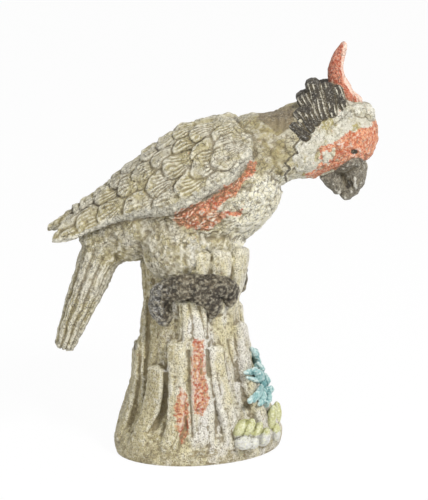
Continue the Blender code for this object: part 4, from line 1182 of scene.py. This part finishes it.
def makeSpeckle():
    nodes, given, result = newGroup(
        "speckle", {"Vector": vectors, "Scale": 900.0, "Amount": 0.5}, {"Mask": numbers})
    noise = nodes.noise(given["Vector"], given["Scale"], 2.0, 0.6).outputs[0]
    start = nodes.sum("MULTIPLY_ADD", given["Amount"], -0.28, 0.74)
    nodes.feed(result["Mask"], nodes.range(noise, start, nodes.sum("ADD", start, 0.1)))
    return nodes.tree


def makeWashShadeAndHighlight():
    # a thin brown wash with painted shade lies in the hollows, and the ridges are rubbed pale with a painted
    # highlight
    nodes, given, result = newGroup(
        "ageing", {"Vector": vectors, "Colour": colours, "Wash": colours, "Rubbed": colours, "Cavity": 0.0,
                   "Ridge": 0.0, "Wash Amount": 0.7, "Rub Amount": 0.5}, {"Colour": colours})
    broken = nodes.noise(given["Vector"], 420.0, 4.0, 0.7).outputs[0]
    hollow = nodes.sum("MULTIPLY_ADD", nodes.sum("SUBTRACT", broken, 0.5), 1.1, given["Cavity"])
    hollow = nodes.times(nodes.range(hollow, 0.05, 0.85), given["Wash Amount"])
    washedAndShaded = nodes.mix(hollow, given["Colour"], given["Wash"])
    raised = nodes.sum("MULTIPLY_ADD", nodes.sum("SUBTRACT", broken, 0.5), 1.4, given["Ridge"])
    raised = nodes.times(nodes.range(raised, 0.25, 0.9), given["Rub Amount"])
    nodes.feed(result["Colour"], nodes.mix(raised, washedAndShaded, given["Rubbed"]))
    return nodes.tree


def makeFeatherMarks():
    # dark outlines round the feathers and fine barbs that fan out over them
    nodes, given, result = newGroup(
        "featherMarks", {"Vector": vectors, "Rim": 6.0, "Fan": 0.0, "Outline Width": 0.7},
        {"Outline": numbers, "Barbs": numbers, "Height": numbers})
    rough = nodes.noise(given["Vector"], 260.0, 3.0, 0.6).outputs[0]
    width = nodes.times(nodes.range(rough, 0.35, 0.65, 0.25, 1.5), given["Outline Width"])
    outline = nodes.range(given["Rim"], nodes.times(width, 0.35), width, 1.0, 0.0)
    wobble = nodes.sum("MULTIPLY_ADD", rough, 3.0, given["Fan"])
    waves = nodes.sum("SINE", nodes.times(wobble, 4.2))
    sparse = nodes.noise(given["Vector"], 140.0, 2.0).outputs[0]
    lines = nodes.times(nodes.range(waves, 0.5, 1.0), nodes.range(sparse, 0.42, 0.62))
    lines = nodes.times(lines, nodes.range(given["Rim"], 0.3, 1.4))
    nodes.feed(result["Outline"], outline)
    nodes.feed(result["Barbs"], lines)
    height = nodes.sum("MULTIPLY_ADD", outline, -1.0, nodes.times(lines, -0.5))
    nodes.feed(result["Height"], height)
    return nodes.tree


patchyPaint, crackle, speckle = makePatchyPaint(), makeCrackle(), makeSpeckle()
ageing, featherMarks = makeWashShadeAndHighlight(), makeFeatherMarks()


# What a look has unless it says otherwise. A noise of scale 100 has cells of 10 mm
commonLook = {
    "mottleScale": 45.0, "middleScale": 130.0, "grainScale": 600.0, "upright": 1.0,
    "stainAmount": 0.55, "bloomAmount": 0.35, "washAmount": 0.65, "rubAmount": 0.7,
    "pitAmount": 0.65, "fleckAmount": 0.4,
    "crackleScale": 260.0, "crackleWidth": 0.07, "crackleAmount": 0.65, "crackleDark": 0.75,
    "speckleScale": 1100.0, "speckleAmount": 0.5, "speckleDark": 0.8,
    "feathers": 0.0, "outlineAmount": 0.8, "barbAmount": 0.35, "shadeAmount": 0.3,
    "grain": 3.0, "lumps": 4.0, "bump": 0.8, "bumpDistance": 0.0013,
    "roughness": (0.42, 0.62),
    "patches": (),
}


def paintedCasting(name, look):
    # mottled ground, patches of paint, feather marks, wash with painted shade, rub with painted highlight,
    # crackle, pits and flecks, then the bump
    look = {**commonLook, **look}
    tints = {key: srgb(*look[key]) for key in ("stain", "bloom", "wash", "rubbed", "crack", "pit")}
    material, nodes, shader = newMaterial(name)
    vector = nodes.add("ShaderNodeTexCoord").outputs["Object"]
    drawn = nodes.add("ShaderNodeMapping")
    drawn.inputs["Scale"].default_value = (1, 1, look["upright"])
    nodes.feed(drawn.inputs["Vector"], vector)
    broad = nodes.noise(drawn.outputs[0], look["mottleScale"], 4.0, 0.6).outputs[0]
    middle = nodes.noise(drawn.outputs[0], look["middleScale"], 5.0, 0.7).outputs[0]
    grain = nodes.noise(vector, look["grainScale"], 3.0, 0.7).outputs[0]
    colour = nodes.mix(nodes.range(broad, 0.4, 0.6), srgb(*look["ground"][0]), srgb(*look["ground"][1]))
    stain = nodes.range(middle, 0.48, 0.66, 0.0, look["stainAmount"])
    colour = nodes.mix(stain, colour, tints["stain"])
    bloom = nodes.range(middle, 0.34, 0.49, look["bloomAmount"], 0.0)
    colour = nodes.mix(bloom, colour, tints["bloom"])
    for mark, first, second, ragged, scale, wear in look["patches"]:
        painted = nodes.group(patchyPaint, Vector=vector, Mask=nodes.attribute(mark), Scale=scale)
        painted.inputs["Raggedness"].default_value = ragged
        mask = nodes.times(painted.outputs[0], nodes.range(grain, 0.5, 0.6, 1.0, 1.0 - wear))
        shade = nodes.noise(vector, scale * 1.7, 3.0, 0.7).outputs[0]
        patch = nodes.mix(nodes.range(shade, 0.42, 0.58), srgb(*first), srgb(*second))
        colour = nodes.mix(mask, colour, patch)
    height = nodes.times(grain, look["grain"])
    height = nodes.sum("MULTIPLY_ADD", middle, look["lumps"], height)
    if look["feathers"]:
        rim, fan = nodes.attribute("rim"), nodes.attribute("fan")
        marks = nodes.group(featherMarks, Vector=vector, Rim=rim, Fan=fan)
        marks.inputs["Outline Width"].default_value = look["feathers"]
        shade = nodes.range(nodes.attribute("shade"), 0.0, 1.0, 0.0, look["shadeAmount"], smooth=False)
        colour = nodes.mix(shade, colour, srgb(*look["featherShade"]))
        barbs = nodes.times(marks.outputs["Barbs"], look["barbAmount"])
        colour = nodes.mix(barbs, colour, tints["wash"])
    # brown wash with painted shade in the hollows, pale rub with painted highlight on the ridges
    shadedAndHighlighted = nodes.group(ageing, Vector=vector, Colour=colour, Wash=tints["wash"], Rubbed=tints["rubbed"],
                       Cavity=nodes.attribute("cavity"), Ridge=nodes.attribute("ridge"))
    shadedAndHighlighted.inputs["Wash Amount"].default_value = look["washAmount"]
    shadedAndHighlighted.inputs["Rub Amount"].default_value = look["rubAmount"]
    colour = shadedAndHighlighted.outputs["Colour"]
    if look["feathers"]:
        outline = nodes.times(marks.outputs["Outline"], look["outlineAmount"])
        colour = nodes.mix(outline, colour, tints["crack"])
        height = nodes.sum("MULTIPLY_ADD", marks.outputs["Height"], 0.5, height)
    lines = nodes.group(crackle, Vector=vector, Scale=look["crackleScale"], Width=look["crackleWidth"],
                        Amount=look["crackleAmount"]).outputs[0]
    colour = nodes.mix(nodes.times(lines, look["crackleDark"]), colour, tints["crack"])
    dots = nodes.group(speckle, Vector=vector, Scale=look["speckleScale"],
                       Amount=look["speckleAmount"]).outputs[0]
    busy = nodes.sum("SUBTRACT", 1.0, nodes.attribute("calm"))
    pits = nodes.range(grain, 0.31, 0.41, look["pitAmount"], 0.0)
    dark = nodes.sum("MAXIMUM", nodes.times(dots, look["speckleDark"]), pits)
    dark = nodes.times(dark, busy)
    colour = nodes.mix(dark, colour, tints["pit"])
    flecks = nodes.range(grain, 0.56, 0.68, 0.0, look["fleckAmount"])
    colour = nodes.mix(nodes.times(flecks, busy), colour, tints["rubbed"])
    height = nodes.sum("MULTIPLY_ADD", lines, -0.5, height)
    height = nodes.sum("MULTIPLY_ADD", dots, -0.3, height)
    bump = nodes.add("ShaderNodeBump")
    bump.inputs["Strength"].default_value = look["bump"]
    bump.inputs["Distance"].default_value = look["bumpDistance"]
    nodes.feed(bump.inputs["Height"], height)
    nodes.feed(shader.inputs["Normal"], bump.outputs[0])
    nodes.feed(shader.inputs["Base Color"], colour)
    nodes.feed(shader.inputs["Roughness"], nodes.range(broad, 0.3, 0.7, *look["roughness"]))
    shader.inputs["Specular IOR Level"].default_value = 0.5
    return material


# A patch of a look is its mark, two colours, how ragged its edge is, the size of its noise, and how much
# of the ground shows through
# wash and shade: brown wash with painted shade in hollows; rubbed and highlight: pale rub with painted
# highlight on ridges, and flecks
birdLook = {
    "ground": ((192, 181, 138), (203, 197, 178)), "stain": (154, 140, 94), "bloom": (220, 217, 207),
    "featherShade": (160, 149, 110), "wash": (118, 104, 74), "rubbed": (238, 233, 214), "crack": (58, 50, 38),
    "pit": (92, 80, 54), "feathers": 0.6, "outlineAmount": 0.75,
    "patches": (
        # pale: paler paint on the breast, partly painted light on the front of the body
        ("pale", (238, 232, 204), (247, 244, 230), 0.35, 160.0, 0.0),
        ("white", (218, 216, 206), (232, 230, 222), 0.5, 150.0, 0.2),
        ("greyStrip", (204, 201, 188), (180, 176, 160), 0.6, 200.0, 0.3),
        ("brown", (124, 110, 88), (142, 128, 102), 0.4, 150.0, 0.1),
        ("olive", (172, 159, 112), (150, 137, 94), 0.8, 150.0, 0.2),
        ("red", (190, 74, 42), (234, 154, 112), 0.75, 240.0, 0.35),
        # dark: on the body only the painted shade along the hood's edge
        ("dark", (74, 66, 54), (50, 45, 38), 0.6, 300.0, 0.2)),
}
headLook = {
    "ground": ((208, 203, 186), (216, 212, 194)), "stain": (162, 150, 108), "bloom": (234, 231, 222),
    "wash": (112, 101, 76), "rubbed": (240, 237, 224), "crack": (60, 52, 40), "pit": (100, 88, 62),
    "patches": (
        ("brown", (126, 112, 90), (142, 128, 104), 0.4, 150.0, 0.1),
        ("olive", (176, 164, 110), (152, 142, 96), 0.7, 260.0, 0.3),
        ("red", (190, 94, 56), (224, 158, 118), 0.9, 240.0, 0.3),
        ("crest", (166, 74, 46), (206, 130, 100), 0.5, 240.0, 0.2),
        # pale paint with a painted sheen along the crest's ridge
        ("crestRidge", (240, 212, 194), (228, 180, 158), 0.5, 240.0, 0.1),
        ("beak", (142, 135, 118), (96, 89, 76), 0.3, 260.0, 0.1),
        # dark: the dark lobes and nape, with painted shade along the hood's edge and in the mouth
        ("dark", (66, 59, 48), (44, 39, 33), 0.5, 280.0, 0.1),
        # rib: pale paint with painted highlight on the lobes' ribs
        ("rib", (210, 204, 184), (136, 129, 112), 0.5, 420.0, 0.0),
        ("eye", (66, 60, 54), (48, 45, 42), 0.2, 300.0, 0.0)),
    "crackleAmount": 0.4, "grainScale": 640.0,
}
stumpLook = {
    "ground": ((220, 211, 172), (229, 225, 215)), "stain": (182, 168, 120), "bloom": (236, 233, 228),
    "wash": (128, 114, 82), "rubbed": (240, 237, 222), "crack": (66, 56, 42), "pit": (106, 92, 62),
    "patches": (
        # left: painted shade, the stump darker and yellower on its left side
        ("left", (206, 196, 158), (188, 176, 134), 0.5, 120.0, 0.3),
        ("brown", (168, 155, 118), (148, 135, 98), 0.6, 170.0, 0.3),
        ("red", (180, 84, 58), (216, 164, 118), 0.85, 240.0, 0.5),
        ("dark", (96, 86, 62), (76, 68, 50), 0.5, 260.0, 0.2)),
    "crackleAmount": 0.2, "speckleAmount": 0.8, "washAmount": 0.8, "upright": 0.35, "fleckAmount": 0.25,
    "rubAmount": 0.5,
}
footLook = {
    "ground": ((108, 97, 76), (72, 63, 49)), "stain": (40, 33, 25), "bloom": (158, 150, 128),
    "wash": (44, 38, 30), "rubbed": (178, 171, 150), "crack": (34, 30, 25), "pit": (36, 31, 25),
    "patches": (("grey", (188, 186, 180), (122, 118, 110), 0.7, 260.0, 0.2),),
    "stainAmount": 0.9, "bloomAmount": 0.6, "rubAmount": 0.6, "fleckAmount": 0.4, "speckleAmount": 0.7,
    "pitAmount": 0.9, "grainScale": 460.0, "middleScale": 120.0,
}
fernLook = {
    "ground": ((160, 200, 197), (132, 182, 182)), "stain": (84, 138, 142), "bloom": (222, 234, 229),
    "wash": (74, 110, 110), "rubbed": (226, 238, 232), "crack": (56, 76, 74), "pit": (80, 114, 112),
    "crackleAmount": 0.1, "speckleAmount": 0.3, "rubAmount": 0.7, "bloomAmount": 0.7, "stainAmount": 0.8,
    "grainScale": 620.0,
}
curlLook = {
    "ground": ((214, 214, 160), (194, 194, 128)), "stain": (150, 146, 74), "bloom": (234, 234, 208),
    "wash": (98, 92, 52), "rubbed": (240, 240, 212), "crack": (62, 56, 38), "pit": (112, 106, 58),
    "patches": (("white", (228, 227, 223), (206, 204, 197), 0.4, 200.0, 0.1),),
    "crackleAmount": 0.1, "speckleAmount": 0.3, "washAmount": 0.8, "grainScale": 620.0,
}


# making the pieces

def makeBirdPiece():
    mesh, near, marks = makeBird()
    points = pointsOf(mesh)
    spots = seen(points)
    red = inPatch(spots, breastRed, 5) * (1 - inPatch(spots, breastGap, 5))
    red *= (marks["wing"] < 0.5) | (spots[:, 1] > paintLimits["wingRed"])
    forward = fadeIn(points[:, 0], *paintStretches["forward"]) * (1 - marks["wing"])
    low = fadeIn(points[:, 2], *paintStretches["low"])
    # painted shade: a dark line along the hood's edge, where the hood overhangs the neck
    dark = groove(spots, hoodEdge, 3.0)
    broken = np.clip(1.5 * smoothNoise(points, 16, 57), -0.4, 1)
    rim = np.where(marks["wing"] > 0.5, marks["rim"] + 0.3 + broken, marks["rim"] + 0.8)
    olive = 0.55 * inPatch(spots, neckOlive, 10) * (1 - marks["wing"])
    relief = reliefMarks(mesh, near, body["relief"])
    # less pale rub and painted highlight on the ridges of the olive neck and the front
    relief["ridge"] *= 1 - np.clip(1.1 * olive + 0.4 * forward, 0, 0.7)
    values = {
        "rim": rim, "fan": marks["fan"], "shade": marks["shade"],
        # paler towards the front and low down: paler paint on the breast, partly painted light
        "pale": np.clip(1.1 * forward * low + 0.2 * forward, 0, 1),
        "white": 0.45 * inPatch(spots, thighPale, 12) * (points[:, 1] < 0),
        "greyStrip": marks["smooth"] * marks["wing"] * 0.9,
        "brown": inPatch(spots, neckBrown, 8) * (1 - marks["wing"]),
        "olive": olive,
        "red": red,
        "dark": dark,
        "calm": np.clip(0.7 * forward + 0.8 * red + 0.25 * marks["wing"] + 0.6 * olive, 0, 0.85),
        **relief,
    }
    return finishPiece("cockatoo_body", mesh, values, paintedCasting("birdPaint", birdLook))


def makeHeadPiece():
    mesh, near, kind, shares = makeHead()
    points = pointsOf(mesh)
    spots = seen(points)
    middle = head["middle"][2]
    crest = near.spread((kind == "crest").astype(float), 3)
    red = inPatch(spots, faceRed, 4) * (1 - 0.9 * inPatch(spots, faceSpot, 4)) * (kind != "beak")
    below = spots[:, 1] > paintLimits["headOlive"]
    olive = np.clip(dab(spots, *templeDab) + 0.8 * smoothNoise(points, 8, 69) * below, 0, 1)
    dark = np.maximum(shares["lobe"], inPatch(spots, napeDark, 4))
    # painted shade along the hood's edge, where it overhangs the neck
    dark = np.maximum(dark, 0.9 * groove(spots, hoodEdge, 3.0) * (spots[:, 0] < paintLimits["hoodEdgeShade"]))
    relief = reliefMarks(mesh, near, head["relief"])
    # less pale rub and painted highlight on the ridges of the lobes
    relief["ridge"] *= 1 - 0.55 * shares["lobe"]
    # pale paint with painted highlight on the lobes' ribs, less of it lower down
    upper = np.maximum(fadeIn(spots[:, 1], *paintLimits["lobeDark"]), 0.2)
    ribs = 1.3 * shares["ribs"] + 0.4 * smoothNoise(points, 3, 70)
    ribs = np.clip(ribs, 0, 0.85) * shares["lobe"] * upper
    values = {
        "brown": inPatch(spots, neckBrown, 8) * (shares["lobe"] < 0.5),
        "olive": 0.8 * olive,
        "red": red,
        "crest": crest * (points[:, 2] > middle + 28),
        # pale paint with a painted sheen along the crest's ridge
        "crestRidge": np.clip(1.5 * groove(spots, crestRidge, 5.0), 0, 1) * crest,
        "beak": shares["beak"],
        # painted shade in the gap of the mouth
        "dark": np.maximum(dark * (crest < 0.5), 0.9 * dab(spots, *mouthShadeDab) * shares["beak"]),
        "rib": ribs,
        "calm": 0.6 * np.clip(0.4 * shares["lobe"] + shares["beak"] + crest + 0.5 * red, 0, 1),
        "eye": dab(spots, *eyeDab),
        **relief,
    }
    return finishPiece("cockatoo_head", mesh, values, paintedCasting("headPaint", headLook))


def makeStumpPiece():
    mesh, near = makeStump()
    points = pointsOf(mesh)
    spots = seen(points)
    front = (points[:, 1] < 0).astype(float)
    red = np.maximum(inPatch(spots, stumpRedA, 5), inPatch(spots, stumpRedB, 5)) * front
    values = {
        # painted shade on the stump's left side, away from the key lamp
        "left": np.minimum(fadeIn(points[:, 0], *paintStretches["stumpShadedSide"]), 0.8),
        "brown": 0.45 * fadeIn(points[:, 2], *paintStretches["stumpFoot"]),
        "red": red,
        "dark": 0.72 * dab(spots, *knobDab),
        "calm": 0.7 * red,
        **reliefMarks(mesh, near, stump["relief"]),
    }
    return finishPiece("tree_stump", mesh, values, paintedCasting("stumpPaint", stumpLook))


smallRelief = (0.1, 0.4)    # for the feet, the fern and the curled leaves


def makeSmallPiece(name, made, look, marks=None):
    mesh, near = made
    values = {**reliefMarks(mesh, near, smallRelief), **(marks(pointsOf(mesh)) if marks else {})}
    return finishPiece(name, mesh, values, paintedCasting(look[0], look[1]))


def footMarks(points):
    return {"grey": fadeIn(seen(points)[:, 0], *paintLimits["footGrey"]) * 0.75}


def curlMarks(points):
    return {"white": fadeIn(seen(points)[:, 1], *paintLimits["curlWhite"])}


pieces = (
    makeBirdPiece(),
    makeHeadPiece(),
    makeStumpPiece(),
    makeSmallPiece("feet", makeFeet(), ("footPaint", footLook), footMarks),
    makeSmallPiece("fern", makeFern(), ("fernPaint", fernLook)),
    makeSmallPiece("curled_leaves", makeCurls(), ("leafPaint", curlLook), curlMarks),
)
for piece in pieces:
    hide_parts("cockatoo_figurine")


# floor, backdrop, lights and camera

studio = {
    "floorSize": 14.0,
    "floorColour": (0.95, 0.95, 0.95, 1),
    "floorRoughness": 0.9,
    "floorGlow": 0.96,              # how much of the floor is plain white to the camera
    "keyPlace": (1.0, -1.2, 1.5), "keySize": 0.5, "keyPower": 44.0,
    "fillPlace": (-1.3, -1.2, 0.7), "fillSize": 1.6, "fillPower": 9.0,
    "worldStrength": 0.42,
    "cameraTarget": (0.0134, 0.0, 0.1716), "cameraDistance": 1.6, "cameraSpan": 0.419,
    "cameraSensor": 36,
}


def seenDirectly(nodes):
    # camera, mirror and glass rays see plain white
    path = nodes.add("ShaderNodeLightPath")
    either = nodes.sum("MAXIMUM", path.outputs["Is Camera Ray"], path.outputs["Is Glossy Ray"])
    return nodes.sum("MAXIMUM", either, path.outputs["Is Transmission Ray"])


def makeFloor():
    half = studio["floorSize"] / 2
    mesh = bpy.data.meshes.new("floor")
    corners = [(-half, -half, 0), (half, -half, 0), (half, half, 0), (-half, half, 0)]
    mesh.from_pydata(corners, [], [(0, 1, 2, 3)])
    material, nodes, shader = newMaterial("paleFloor")
    shader.inputs["Base Color"].default_value = studio["floorColour"]
    shader.inputs["Roughness"].default_value = studio["floorRoughness"]
    glow = nodes.add("ShaderNodeEmission")
    blend = nodes.add("ShaderNodeMixShader")
    share = nodes.times(seenDirectly(nodes), studio["floorGlow"])
    nodes.feed(blend.inputs[0], share)
    nodes.feed(blend.inputs[1], shader.outputs[0])
    nodes.feed(blend.inputs[2], glow.outputs[0])
    nodes.feed(material.node_tree.nodes["Material Output"].inputs["Surface"], blend.outputs[0])
    mesh.materials.append(material)
    addThing("floor", mesh)


def makeLamp(name, spot, size, power):
    lamp = bpy.data.lights.new(name, "AREA")
    lamp.size, lamp.energy = size, power
    holder = addThing(name, lamp)
    holder.location = spot
    aim = Vector(studio["cameraTarget"]) - holder.location
    holder.rotation_euler = aim.to_track_quat("-Z", "Y").to_euler()


def makeWorld():
    world = bpy.data.worlds.new("studio")
    bpy.context.scene.world = world
    world.use_nodes = True
    nodes = Nodes(world.node_tree)
    shader = world.node_tree.nodes["Background"]
    strength = nodes.range(seenDirectly(nodes), 0.0, 1.0, studio["worldStrength"], 1.0, smooth=False)
    nodes.feed(shader.inputs["Color"], (1, 1, 1, 1))
    nodes.feed(shader.inputs["Strength"], strength)


def makeCamera():
    data = bpy.data.cameras.new("camera")
    data.sensor_width = studio["cameraSensor"]
    data.lens = data.sensor_width * studio["cameraDistance"] / studio["cameraSpan"]
    camera = addThing("camera", data)
    x, y, z = studio["cameraTarget"]
    away = studio["cameraDistance"]
    camera.location = (x, y - away * math.cos(viewTilt), z + away * math.sin(viewTilt))
    camera.rotation_euler = (math.radians(90) - viewTilt, 0, 0)
    bpy.context.scene.camera = camera


makeFloor()
makeLamp("key", studio["keyPlace"], studio["keySize"], studio["keyPower"])
makeLamp("fill", studio["fillPlace"], studio["fillSize"], studio["fillPower"])
makeWorld()
makeCamera()
bpy.context.scene.view_settings.view_transform = "Standard"
print("floor, lights and camera made")
